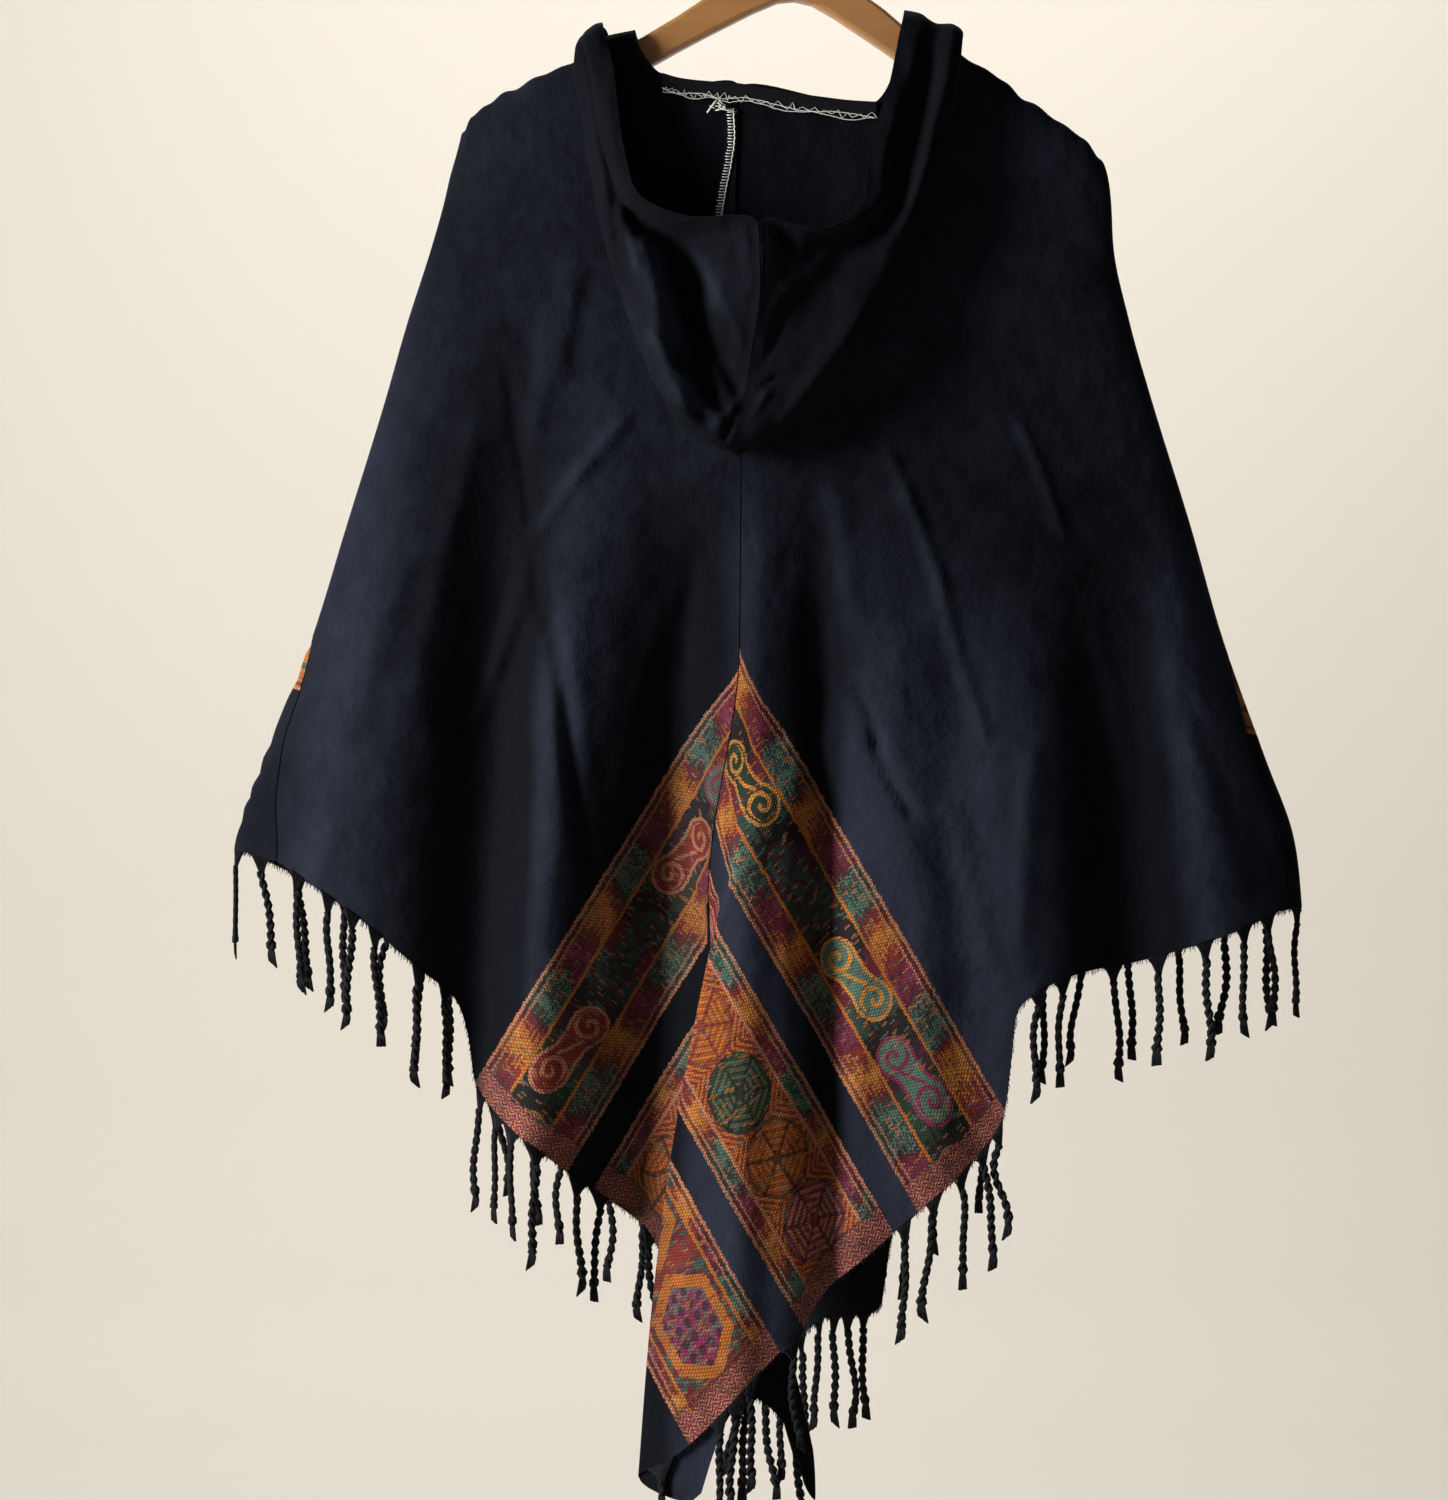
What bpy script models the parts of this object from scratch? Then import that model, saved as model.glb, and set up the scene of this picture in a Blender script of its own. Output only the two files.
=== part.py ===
"""A hooded, fringed poncho on a wooden hanger, seen from its back when looked at along +Y.

The origin is the point where the hanger's hook rests on its rail. Sizes are in millimetres until a mesh is made.
"drop" is a distance down from that point, "out" a distance away from the surface that something lies on.
Each panel is a ruled sheet: v runs up its fringed hem from the arm seam (0) to the centre seam (HEM), and
t runs from the neck and shoulder edge (0) down to the hem (1).
"""

import math

import bmesh
import bpy
import numpy as np

MM = 0.001
CLOTH = 1.3  # thickness of the woven cloth
SEAM = 0.3  # gap between pieces that are sewn together
BACK, FRONT = -1, 1
LEFT, RIGHT = -1, 1
SIDE_NAMES = {LEFT: "left", RIGHT: "right"}
FACE_NAMES = {BACK: "back", FRONT: "front"}

HEM = 758.0  # one panel's fringed hem, as cut
NECK_SHARE = 0.375  # share of a panel's top edge that is neckline
NECK_V = HEM * (1 - NECK_SHARE)
TILT = math.radians(3.5)  # the hanger hangs this far out of level

NAVY = (0.016, 0.018, 0.028)
BLACK_YARN = (0.012, 0.012, 0.015)
OVERLOCK_CLOTH = (0.02, 0.02, 0.026)
WOOD = (0.72, 0.42, 0.2)
STEEL = (0.62, 0.62, 0.6)


def table(columns, *rows):
    """Named columns from rows of numbers."""
    return {name: np.array([row[i] for row in rows], float) for i, name in enumerate(columns.split())}


def curve(rows, key, column, at):
    """A smooth curve through a table's points that never swings past them."""
    x, y = rows[key], rows[column]
    at = np.clip(at, x[0], x[-1])
    slope = np.diff(y) / np.diff(x)
    before, after = slope[:-1], slope[1:]
    turning = before * after <= 0
    middle = np.where(turning, 0, 2 * before * after / np.where(turning, 1, before + after))
    tangent = np.concatenate([slope[:1], middle, slope[-1:]])
    i = np.clip(np.searchsorted(x, at, side="right") - 1, 0, len(slope) - 1)
    width = x[i + 1] - x[i]
    f = (at - x[i]) / width
    return (
        y[i] * (1 + 2 * f) * (1 - f) ** 2
        + y[i + 1] * f**2 * (3 - 2 * f)
        + width * (tangent[i] * f * (1 - f) ** 2 - tangent[i + 1] * f**2 * (1 - f))
    )


def straight(rows, key, column, at):
    return np.interp(at, rows[key], rows[column])


def smooth(f):
    f = np.clip(f, 0, 1)
    return f * f * (3 - 2 * f)


def blend(a, b, f):
    return a + (b - a) * f


# The body's outline at each drop: where it ends left and right, how far each face stands from the middle, and
# how square its section is, from nearly flat over the hanger to rounded below.
OUTLINE = table(
    "drop left right depth square",
    (98, -92, 66, 11, 5),
    (104, -105, 76, 11, 5),
    (112, -120, 91, 11, 5),
    (120, -142, 104, 11.5, 5),
    (128, -158, 118, 12, 5),
    (140, -185, 138, 12, 4.8),
    (154, -213, 155, 12.5, 4.6),
    (168, -232, 176, 13, 4.4),
    (182, -240, 196, 14, 4.2),
    (196, -244, 209, 15, 4),
    (210, -248, 216, 16, 3.8),
    (231, -253, 218.5, 18, 3.5),
    (259, -261, 220, 20, 3.2),
    (315, -279, 232, 24, 2.9),
    (371, -295, 248, 27.5, 2.7),
    (455, -321, 274, 32, 2.5),
    (539, -347, 298, 36, 2.4),
    (623, -381, 328, 40, 2.3),
    (679, -400, 348, 42, 2.2),
    (707, -403.5, 352, 43, 2.2),
    (740, -404, 354, 43, 2.2),
    (1200, -404, 354, 40, 2.2),
)

# How far the front wraps round onto the back before it meets the arm seam.
ARM_SEAM = table(
    "drop left right",
    (552, 0, 0),
    (600, 9, 7),
    (640, 19, 9),
    (694, 34, 11),
    (740, 34, 12),
)

# The neckline, from the centre (share 0) to the top of the hanger's arm (share 1).
NECKLINE = {
    (BACK, LEFT): table("share x drop", (0, -44, 147), (0.45, -80, 144), (0.75, -102, 138), (1, -120, 112)),
    (BACK, RIGHT): table("share x drop", (0, -44, 147), (0.45, 10, 156), (0.8, 52, 160), (1, 76, 104)),
    (FRONT, LEFT): table("share x drop", (0, -36, 225), (0.4, -75, 198), (0.75, -107, 150), (1, -120, 112)),
    (FRONT, RIGHT): table("share x drop", (0, -36, 225), (0.4, 15, 212), (0.75, 60, 162), (1, 76, 104)),
}
SHOULDER = {LEFT: (112, 190), RIGHT: (104, 214)}  # drops at the neck and past the hanger's end

# The fringed hems as they hang. The back's are places across, the front's are distances in from the outline.
BACK_HEM = {
    LEFT: table(
        "v x drop",
        (0, -370, 694),
        (95, -317, 729),
        (190, -268, 770),
        (240, -244, 792),
        (275, -236, 815),
        (334, -230, 850),
        (424, -167, 907),
        (515, -104, 961),
        (HEM, -22, 1150),
    ),
    RIGHT: table(
        "v x drop",
        (0, 342, 726),
        (38, 316, 738),
        (110, 264, 756),
        (150, 229, 766),
        (190, 197, 771),
        (232, 166, 782),
        (258, 148, 799),
        (296, 144, 833),
        (334, 139, 869),
        (426, 78, 938),
        (450, 64, 950),
        (543, 1, 1016),
        (HEM, -22, 1150),
    ),
}
FRONT_HEM = {
    LEFT: table(
        "v inward drop",
        (0, -34, 694),
        (40, 0, 687),
        (90, 34, 701),
        (160, 86, 724),
        (235, 136, 762),
        (300, 168, 819),
        (334, 178, 850),
        (440, 234, 896),
        (540, 297, 955),
        (650, 342, 1029),
        (HEM, 384, 1088),
    ),
    RIGHT: table(
        "v inward drop",
        (0, -12, 726),
        (20, 0, 728),
        (80, 37, 737),
        (150, 89, 752),
        (230, 156, 766),
        (290, 201, 794),
        (334, 212, 850),
        (440, 282, 931),
        (500, 291, 970),
        (560, 300, 1017),
        (620, 334, 1024),
        (680, 351, 1037),
        (HEM, 374, 1088),
    ),
}

# The centre-back seam leans left of the straight line between neck and point by this much.
CENTRE_SEAM = table("t shift", (0, 0), (0.4, -9), (0.573, -34), (0.74, -28), (0.86, -18), (1, 0))
SEAM_REACH = 7  # how fast that lean dies away across a panel

# The pleat under the centre back: how the hem lies over itself either side of the centre seam.
PLEAT_START = 0.573  # t where it begins to fold over
PLEAT_GROWTH = {LEFT: 0.65, RIGHT: 0.85}
PLEAT_TURN = 0.612  # where its inner leg stands square to the body, and the seam along it opens a little
PLEAT_RISE = 0.08  # it starts to stand out this much higher
PLEAT = {
    LEFT: table(
        "v across down out",
        (560, 0, 0, 0),
        (640, 14, 0, 0),
        (704, 41, 4, 0),
        (709, 43.7, 4, 0.6),
        (714, 44.4, 4, 1.9),
        (719, 43, 4, 3.2),
        (726, 39, 3, 4.0),
        (738, 25, 2, 4.6),
        (HEM, 0, 0, 5.9),
    ),
    RIGHT: table(
        "v across down out",
        (430, 0, 0, 0),
        (543, 0, 0, 9),
        (567, -15, 2, 11.5),
        (659, -76, 17, 12.4),
        (676, -93, 19, 12.4),
        (681, -97.8, 19, 11.8),
        (686, -99, 19, 10.4),
        (691, -97.5, 19, 8.9),
        (698, -91, 18, 8.1),
        (722, -54, 11, 7.3),
        (HEM, 0, 0, 5.9),
    ),
}

# The largest folds: ridges stand out, troughs have a negative "out". Each runs down a line and grows as it goes.
FOLD_COLUMNS = "x0 drop0 x1 drop1 width out"
FOLDS = {
    BACK: table(
        FOLD_COLUMNS,
        (-212, 231, -352, 700, 30, 8),
        (-196, 290, -262, 742, 30, -15),
        (-165, 380, -208, 791, 30, 10),
        (-100, 385, -150, 740, 27, -15),
        (-48, 400, -56, 600, 20, 9),
        (-12, 400, 12, 740, 17, -9),
        (19, 420, 96, 800, 30, 9),
        (198, 400, 172, 780, 34, -16),
        (229, 300, 262, 740, 26, 8),
    ),
    FRONT: table(
        FOLD_COLUMNS,
        (-200, 260, -300, 720, 34, -13),
        (-150, 300, -190, 820, 34, 11),
        (-90, 330, -110, 900, 30, -14),
        (-30, 330, -24, 950, 30, 10),
        (50, 330, 60, 900, 32, -14),
        (120, 300, 150, 800, 34, 11),
        (180, 260, 230, 740, 30, -12),
    ),
}

GATHER = 17.0  # wave length of the puckers along the shoulder seam
GATHER_RISE = 1.5
GATHER_END = 0.075  # t where they have died away

BACK_COLUMNS = {
    LEFT: (0, 40, 90, 140, 190, 225, 255, 285, 334, 379, 424, NECK_V, NECK_V + 6, 515, 560, 600, 640, 675,
           704, 709, 714, 719, 726, 738, HEM),
    RIGHT: (0, 38, 80, 125, 175, 212, 240, 262, 296, 334, 380, 426, NECK_V, NECK_V + 3, 510, 543, 567, 600,
            630, 659, 676, 681, 686, 691, 698, 722, HEM),
}
FRONT_COLUMNS = {
    LEFT: (0, 14, 28, 40, 60, 90, 125, 160, 235, 300, 334, 387, 440, NECK_V, NECK_V + 6, 540, 595, 650, HEM),
    RIGHT: (0, 7, 14, 20, 32, 55, 90, 150, 230, 290, 334, 387, 440, NECK_V, NECK_V + 3, 535, 570, 622, 680, HEM),
}
BACK_ROWS = (0, 0.005, 0.016, 0.04, 0.075, 0.12, 0.19, 0.27, 0.36, 0.45, 0.52, 0.573, 0.59, 0.603, 0.614,
             0.625, 0.64, 0.66, 0.7, 0.76, 0.82, 0.88, 0.94, 1)
FRONT_ROWS = (0, 0.005, 0.02, 0.06, 0.12, 0.22, 0.34, 0.45, 0.573, 0.614, 0.66, 0.7, 0.76, 0.82, 0.88,
              0.94, 1)


def outline(side, drop):
    return curve(OUTLINE, "drop", SIDE_NAMES[side], drop)


def across_share(x, drop):
    """How far x lies from the middle of the body towards its outline, from -1 to 1."""
    left, right = outline(LEFT, drop), outline(RIGHT, drop)
    return np.clip((2 * x - left - right) / (right - left), -1, 1)


def fold_rise(face, x, drop):
    """How far the large folds stand out of one face."""
    rise = np.zeros(np.shape(x))
    folds = FOLDS[face]
    for x0, drop0, x1, drop1, width, out in zip(*(folds[name] for name in FOLD_COLUMNS.split())):
        down = (drop - drop0) / (drop1 - drop0)
        line = x0 + (x1 - x0) * down
        rise = rise + out * smooth(down * 1.4) * np.exp(-(((x - line) / width) ** 2))
    return rise


def body_y(face, x, drop):
    """The body's depth at a place on one face."""
    share = np.abs(across_share(x, drop))
    square = curve(OUTLINE, "drop", "square", drop)
    round_off = np.power(np.clip(1 - share**square, 0, 1), 1 / square)
    depth = curve(OUTLINE, "drop", "depth", drop) * round_off
    return face * (SEAM / 2 + depth + fold_rise(face, x, drop) * (1 - share**4))


def top_edge(side, face, s):
    """Neckline from the centre, then shoulder seam along the outline. s is 0 at the centre."""
    neck = NECKLINE[face, side]
    neck_share = np.clip(s / NECK_SHARE, 0, 1)
    shoulder_share = np.clip((s - NECK_SHARE) / (1 - NECK_SHARE), 0, 1)
    high, low = SHOULDER[side]
    shoulder_drop = blend(high, low, shoulder_share)
    on_neck = s < NECK_SHARE
    x = np.where(on_neck, curve(neck, "share", "x", neck_share), outline(side, shoulder_drop))
    drop = np.where(on_neck, curve(neck, "share", "drop", neck_share), shoulder_drop)
    return x, drop


def gathers(s, t):
    """The puckers of the shoulder seam, as a lift."""
    along = np.clip(s - NECK_SHARE, 0, 1) * 224
    wave = np.sin(2 * math.pi * along / GATHER)
    return GATHER_RISE * wave * smooth((s - NECK_SHARE) / 0.06) * smooth(1 - t / GATHER_END)


def seam_round(side, drop):
    return curve(ARM_SEAM, "drop", SIDE_NAMES[side], drop)


def back_points(side, v, t):
    """Points of a back panel's middle surface, in millimetres, as x, y and drop."""
    s = 1 - v / HEM
    top_x, top_drop = top_edge(side, BACK, s)
    hem = BACK_HEM[side]
    hem_drop = curve(hem, "v", "drop", v)
    drop = blend(top_drop, hem_drop, t)
    x = blend(top_x, curve(hem, "v", "x", v), t)
    x = x + curve(CENTRE_SEAM, "t", "shift", t) * np.exp(-SEAM_REACH * s * s)
    # the edge at the arm follows the outline, or lies inside it where the front wraps round
    edge_drop = blend(top_edge(side, BACK, np.ones_like(s))[1], hem["drop"][0], t)
    edge_now = blend(top_edge(side, BACK, np.ones_like(s))[0], hem["x"][0], t)
    inward = seam_round(side, edge_drop)
    wanted = outline(side, edge_drop) - side * (inward + SEAM / 2 * smooth(inward / 3))
    x = x + (wanted - edge_now) * smooth(s) ** 3
    # the pleat
    grown = np.clip((t - PLEAT_START) / (1 - PLEAT_START), 0, 1) ** PLEAT_GROWTH[side]
    x = x + straight(PLEAT[side], "v", "across", v) * grown
    drop = drop + straight(PLEAT[side], "v", "down", v) * grown
    out = straight(PLEAT[side], "v", "out", v) * smooth((t - PLEAT_START + PLEAT_RISE) / PLEAT_RISE)
    x = np.where(t < 1e-9, np.where(s < NECK_SHARE, x, top_x), x)
    y = body_y(BACK, x, drop) - out
    return np.stack([x, y, drop - gathers(s, t)], axis=-1)


def front_points(side, v, t):
    """The same for a front panel, whose edge may lie round on the back."""
    s = 1 - v / HEM
    top_x, top_drop = top_edge(side, FRONT, s)
    hem = FRONT_HEM[side]
    hem_drop = curve(hem, "v", "drop", v)
    hem_x = outline(side, hem_drop) - side * curve(hem, "v", "inward", v)
    drop = blend(top_drop, hem_drop, t)
    inward = side * (outline(side, drop) - blend(top_x, hem_x, t))
    edge_x, edge_drop = top_edge(side, FRONT, np.ones_like(s))
    edge_drop = blend(edge_drop, hem["drop"][0], t)
    edge_x = blend(edge_x, outline(side, hem["drop"][0]) - side * hem["inward"][0], t)
    edge_inward = side * (outline(side, edge_drop) - edge_x)
    inward = inward + (-seam_round(side, edge_drop) - edge_inward) * smooth(s) ** 3
    around = np.sqrt(inward**2 + 0.5) - math.sqrt(0.5)
    x = outline(side, drop) - side * np.where(t < 1e-9, np.maximum(inward, 0), around)
    y = np.where(inward < -0.01, body_y(BACK, x, drop), body_y(FRONT, x, drop))
    return np.stack([x, y, drop - gathers(s, t)], axis=-1)


def part_edges(edge, inner, other_inner, extra=0):
    """Moves an edge back from the one it is sewn to, far enough that the walls clear each other at their fold."""
    toward = edge - inner
    reach = np.linalg.norm(toward, axis=-1, keepdims=True)
    toward = toward / np.maximum(reach, 1e-6)
    other = edge - other_inner
    other = other / np.maximum(np.linalg.norm(other, axis=-1, keepdims=True), 1e-6)
    straightness = np.clip(-np.sum(toward * other, axis=-1, keepdims=True), -0.6, 1)
    back_off = SEAM * 0.7 + extra + CLOTH / 2 * np.sqrt((1 - straightness) / (1 + straightness))
    return edge - toward * np.minimum(back_off, reach * 0.7)


def mirrored(points):
    return points * np.array((1, -1, 1))


def panel_grid(side, face):
    points = back_points if face == BACK else front_points
    columns = (BACK_COLUMNS if face == BACK else FRONT_COLUMNS)[side]
    rows = BACK_ROWS if face == BACK else FRONT_ROWS
    v, t = np.meshgrid(np.array(columns, float), np.array(rows, float))
    grid = points(side, v, t)
    made = grid.copy()
    # the centre seam, beside the other half's column at the same distance from it
    turning = np.exp(-(((t[:, -1:] - PLEAT_TURN) / 0.02) ** 2)) * (face == BACK)
    made[:, -1] = part_edges(grid[:, -1], grid[:, -2], points(-side, v, t)[:, -2], 0.9 * turning)
    # the arm seam: on the outline the other panel mirrors this one, further round it goes straight on
    straight_on = 2 * grid[:, 0] - grid[:, 1]
    on_back = smooth(np.abs(grid[:, 0, 1:2]) / 4)
    made[:, 0] = part_edges(grid[:, 0], grid[:, 1], blend(mirrored(grid[:, 1]), straight_on, on_back))
    # the shoulder seam
    shoulder = np.array(columns) <= NECK_V
    made[0, shoulder] = part_edges(grid[0], grid[1], mirrored(grid[1]))[shoulder]
    made[0, 0, 1] = (made[0, 1, 1] + made[1, 0, 1]) / 2
    return made


# ---------------------------------------------------------------------------------------------------- the hood

# Sections of each half from the bag's bottom up its sides, over the shoulder and down to the front neckline.
# "in" is the edge at the centre-back seam or neckline, "side" the fold at its outline, and "rim" the edge at the
# crown seam, then the face opening. The outs stand off the body at the side fold and along the outer layer.
# "wrap" is 1 on the back, 0 on top of the shoulder and -1 on the front.
HOOD_COLUMNS = "in_x in_drop back_drop side_x side_drop rim_x rim_drop sag side roll dip mid rim wrap"
HOOD_POLE = (-46, 411, 14)
HOOD = {
    LEFT: table(
        HOOD_COLUMNS,
        (-46, 392, 394, -79, 397, -44, 398, 0, 12, 24, 27, 28, 27, 1),
        (-45, 368, 368, -98, 369, -40, 372, 0, 15, 34, 20, 24, 24, 1),
        (-44, 332, 333, -113, 336, -36, 343, 0, 16, 38, 16, 28, 33, 1),
        (-44, 290, 295, -125, 301, -30, 304, 0, 16, 38, 15, 34, 43, 1),
        (-44, 248, 262, -134, 272, -31, 253, 6, 15, 36, 19, 40, 48, 1),
        (-45, 224, 239, -139, 248, -79, 249, 2, 14, 33, 26, 42, 46, 1),
        (-46, 196, 214, -143, 224, -113, 233, 0, 13, 30, 31, 38, 41, 1),
        (-44, 149, 182, -148, 196, -124, 200, 0, 12, 25, 29, 33, 34, 1),
        (-72, 146, 164, -153, 168, -129, 167, 0, 11, 20, 25, 28, 28, 1),
        (-98, 141, 147, -158, 144, -132, 141, 0, 10, 16, 20, 21, 20, 1),
        (-113, 124, 128, -158, 127, -137, 121, 0, 9, 14, 15, 15, 14, 1),
        (-117, 112, 117, -156, 122, -140, 112, 0, 7, 11, 12, 12, 10, 0.85),
        (-118, 108.5, 112, -154, 121, -141, 109, 0, 4, 7, 8, 7, 4, 0),
        (-116, 112, 117, -152, 122, -137, 112, 0, 7, 11, 12, 12, 10, -0.85),
        (-108, 134, 140, -145, 148, -124, 138, 0, 9, 15, 18, 18, 17, -1),
        (-78, 187, 200, -96, 212, -88, 202, 0, 8, 14, 18, 19, 18, -1),
        (-59, 203, 217, -69, 231, -64, 220, 0, 8, 14, 17, 18, 17, -1),
        (-39, 219, 234, -44, 249, -42, 237, 0, 8, 13, 16, 17, 16, -1),
    ),
    RIGHT: table(
        HOOD_COLUMNS,
        (-46, 392, 394, -9, 391, -44, 398, 0, 12, 24, 27, 28, 27, 1),
        (-45, 368, 368, 13, 366, -40, 372, 0, 15, 32, 30, 27, 24, 1),
        (-44, 332, 334, 38, 337, -36, 343, 0, 16, 36, 32, 31, 33, 1),
        (-44, 290, 294, 61, 299, -30, 304, 3, 16, 36, 30, 35, 43, 1),
        (-44, 248, 257, 76, 266, -31, 253, 12, 15, 34, 26, 40, 48, 1),
        (-45, 224, 236, 83, 243, 8, 258, 5, 14, 32, 24, 40, 46, 1),
        (-46, 196, 209, 92, 211, 38, 244, 2, 13, 30, 22, 36, 41, 1),
        (-44, 149, 180, 99, 180, 44, 217, 0, 12, 26, 18, 31, 34, 1),
        (14, 157, 169, 105, 157, 50, 184, 0, 11, 22, 14, 26, 28, 1),
        (50, 161, 152, 109, 137, 60, 152, 0, 10, 19, 13, 21, 21, 1),
        (68, 131, 128, 111, 121, 66, 124, 0, 9, 16, 11, 16, 15, 1),
        (73, 106, 111, 112, 116, 71, 105, 0, 7, 11, 7, 11, 10, 0.85),
        (75, 100, 106, 111, 114, 73, 98.5, 0, 4, 7, 4, 6, 4, 0),
        (73, 106, 111, 108, 117, 77, 106, 0, 7, 11, 9, 11, 10, -0.85),
        (64, 138, 144, 98, 152, 80, 142, 0, 9, 15, 18, 18, 17, -1),
        (31, 193, 205, 47, 218, 39, 207, 0, 8, 14, 18, 19, 18, -1),
        (0, 211, 225, 8, 239, 3, 228, 0, 8, 14, 17, 18, 17, -1),
        (-33, 221, 236, -28, 251, -31, 239, 0, 8, 13, 16, 17, 16, -1),
    ),
}
CROWN_ROWS = 5  # this many sections reach the crown seam, the rest end at the face opening
CENTRE_ROWS = 8  # this many start at the centre-back seam, the rest at the neckline
IN_OUT, BACK_OUT = 2.1, 2.7  # how far the layer against the body stands off it
TOP_DEPTH = 12.0  # half the body's depth over the hanger
ALONG_OUTER = (0.15, 0.45, 0.72)  # where the roll, the dip and the middle lie between side fold and rim
HOOD_STEPS_DOWN = 2
HOOD_STEPS_ACROSS = 2


def catmull(points, steps):
    """Points along a smooth curve through the given ones, each stretch cut into the given number of steps."""
    points = np.asarray(points, float)
    padded = np.concatenate([[2 * points[0] - points[1]], points, [2 * points[-1] - points[-2]]])
    made = []
    for i in range(len(points) - 1):
        a, b, c, d = padded[i : i + 4]
        for f in np.arange(steps) / steps:
            made.append(
                0.5 * (2 * b + (c - a) * f + (2 * a - 5 * b + 4 * c - d) * f**2 + (3 * b - a - 3 * c + d) * f**3)
            )
    made.append(points[-1])
    return np.array(made)


def hood_place(place):
    """Where x, drop, out and wrap put a point on the body's back (wrap 1), shoulder (near 0) or front (-1)."""
    x, drop, out, wrap = place
    wrap = min(max(wrap, -1), 1)
    depth = max(abs(body_y(BACK if wrap > 0 else FRONT, x, drop)), TOP_DEPTH)
    return (x, -wrap * (depth + out), drop - out * math.sqrt(1 - wrap**2))


def hood_section(side, row):
    """The control points of one section, from its inner edge to its rim, as x, drop, out and wrap."""
    a = {name: float(values[row]) for name, values in HOOD[side].items()}
    against = 1 if abs(a["wrap"]) > 0.5 else 0.4
    points = [
        (a["in_x"], a["in_drop"], IN_OUT * against),
        ((a["in_x"] + a["side_x"]) / 2, a["back_drop"], BACK_OUT * against),
        (a["side_x"], a["side_drop"], a["side"]),
    ]
    for share, name in zip(ALONG_OUTER, ("roll", "dip", "mid")):
        sag = a["sag"] * math.sin(math.pi * share)
        drop = blend(a["side_drop"], a["rim_drop"], share) + sag
        points.append((blend(a["side_x"], a["rim_x"], share), drop, a[name]))
    points.append((a["rim_x"], a["rim_drop"], a["rim"]))
    return catmull([(*point, a["wrap"]) for point in points], HOOD_STEPS_ACROSS)


def clear_of_body(grid):
    """Keeps the hood a cloth's thickness and more outside the body, or above its shoulders."""
    for row in grid:
        face = np.where(row[:, 1] < 0, BACK, FRONT)
        raised = row[:, 2] + IN_OUT
        depth = np.where(face == BACK, -body_y(BACK, row[:, 0], raised), body_y(FRONT, row[:, 0], raised))
        limit = np.where(depth > 1, depth + IN_OUT, 0)
        row[:, 1] = face * np.maximum(np.abs(row[:, 1]), limit)


def hood_grid(side):
    sections = [hood_section(side, row) for row in range(len(HOOD[side]["wrap"]))]
    x, drop, out = HOOD_POLE
    pole = np.tile((x + side * SEAM, drop, out, 1), (len(sections[0]), 1))
    places = catmull([pole] + sections, HOOD_STEPS_DOWN)
    grid = np.array([[hood_place(place) for place in row] for row in places])
    clear_of_body(grid[1:])
    return grid


def hood_half(side):
    """One half of the hood, parted from the other at the crown seam and the centre-back seam."""
    grid, other = hood_grid(side), hood_grid(-side)
    made = grid.copy()
    crown = slice(1, CROWN_ROWS * HOOD_STEPS_DOWN + 1)
    centre = slice(1, CENTRE_ROWS * HOOD_STEPS_DOWN + 1)
    made[crown, -1] = part_edges((grid + other)[crown, -1] / 2, grid[crown, -2], other[crown, -2])
    made[centre, 0] = part_edges((grid + other)[centre, 0] / 2, grid[centre, 1], other[centre, 1])
    return made


# --------------------------------------------------------------------------------------------------- the fringe

ROPE = 80.0  # length of a twisted rope below the hem
ROPE_WIDTH = 5.2
ROPE_ROOT = 8.0
STRIP = 3.0  # height of the strip that the ropes' roots are fused into
STRIP_GAP = 0.5
STRIP_ENDS = {(BACK, LEFT): 703, (BACK, RIGHT): 677, (FRONT, LEFT): 754, (FRONT, RIGHT): 754}
STRIP_START = 4.0
ROPE_PLACES = {  # distance up the hem of each rope, none where the pleat hides the hem
    (BACK, LEFT): (27, 66, 98, 128, 187, 222, 346, 366, 380, 400, 438, 457, 507, 600, 650, 694),
    (BACK, RIGHT): (22, 47, 88, 127, 163, 212, 234, 346, 364, 384, 408, 440, 556, 590, 606, 620, 668),
    (FRONT, LEFT): (14, 40, 104, 148, 192, 228, 262, 354, 398, 442, 486, 530, 574, 618, 662, 706, 744),
    (FRONT, RIGHT): (12, 56, 100, 144, 188, 226, 256, 354, 398, 442, 579, 596, 612, 642, 690, 735),
}
ROPE_SECTIONS = table(
    "down width depth sway",
    (9, ROPE_WIDTH, 4.2, 0.4),
    (34, ROPE_WIDTH, 4.6, 1.0),
    (62, ROPE_WIDTH, 4.6, 0.3),
    (ROPE, ROPE_WIDTH + 1.4, 3.0, -0.8),
)
SWAY = 2.2
ROPE_OUT = 1.6  # a rope hangs this far in front of its strip


def unit(vector):
    return vector / max(np.linalg.norm(vector), 1e-9)


def hem_line(side, face):
    """Corners of the panel's hem edge as v, point and the way on from the cloth."""
    grid = panel_grid(side, face)
    columns = (BACK_COLUMNS if face == BACK else FRONT_COLUMNS)[side]
    return np.array(columns, float), grid[-1], grid[-1] - grid[-2]


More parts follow.
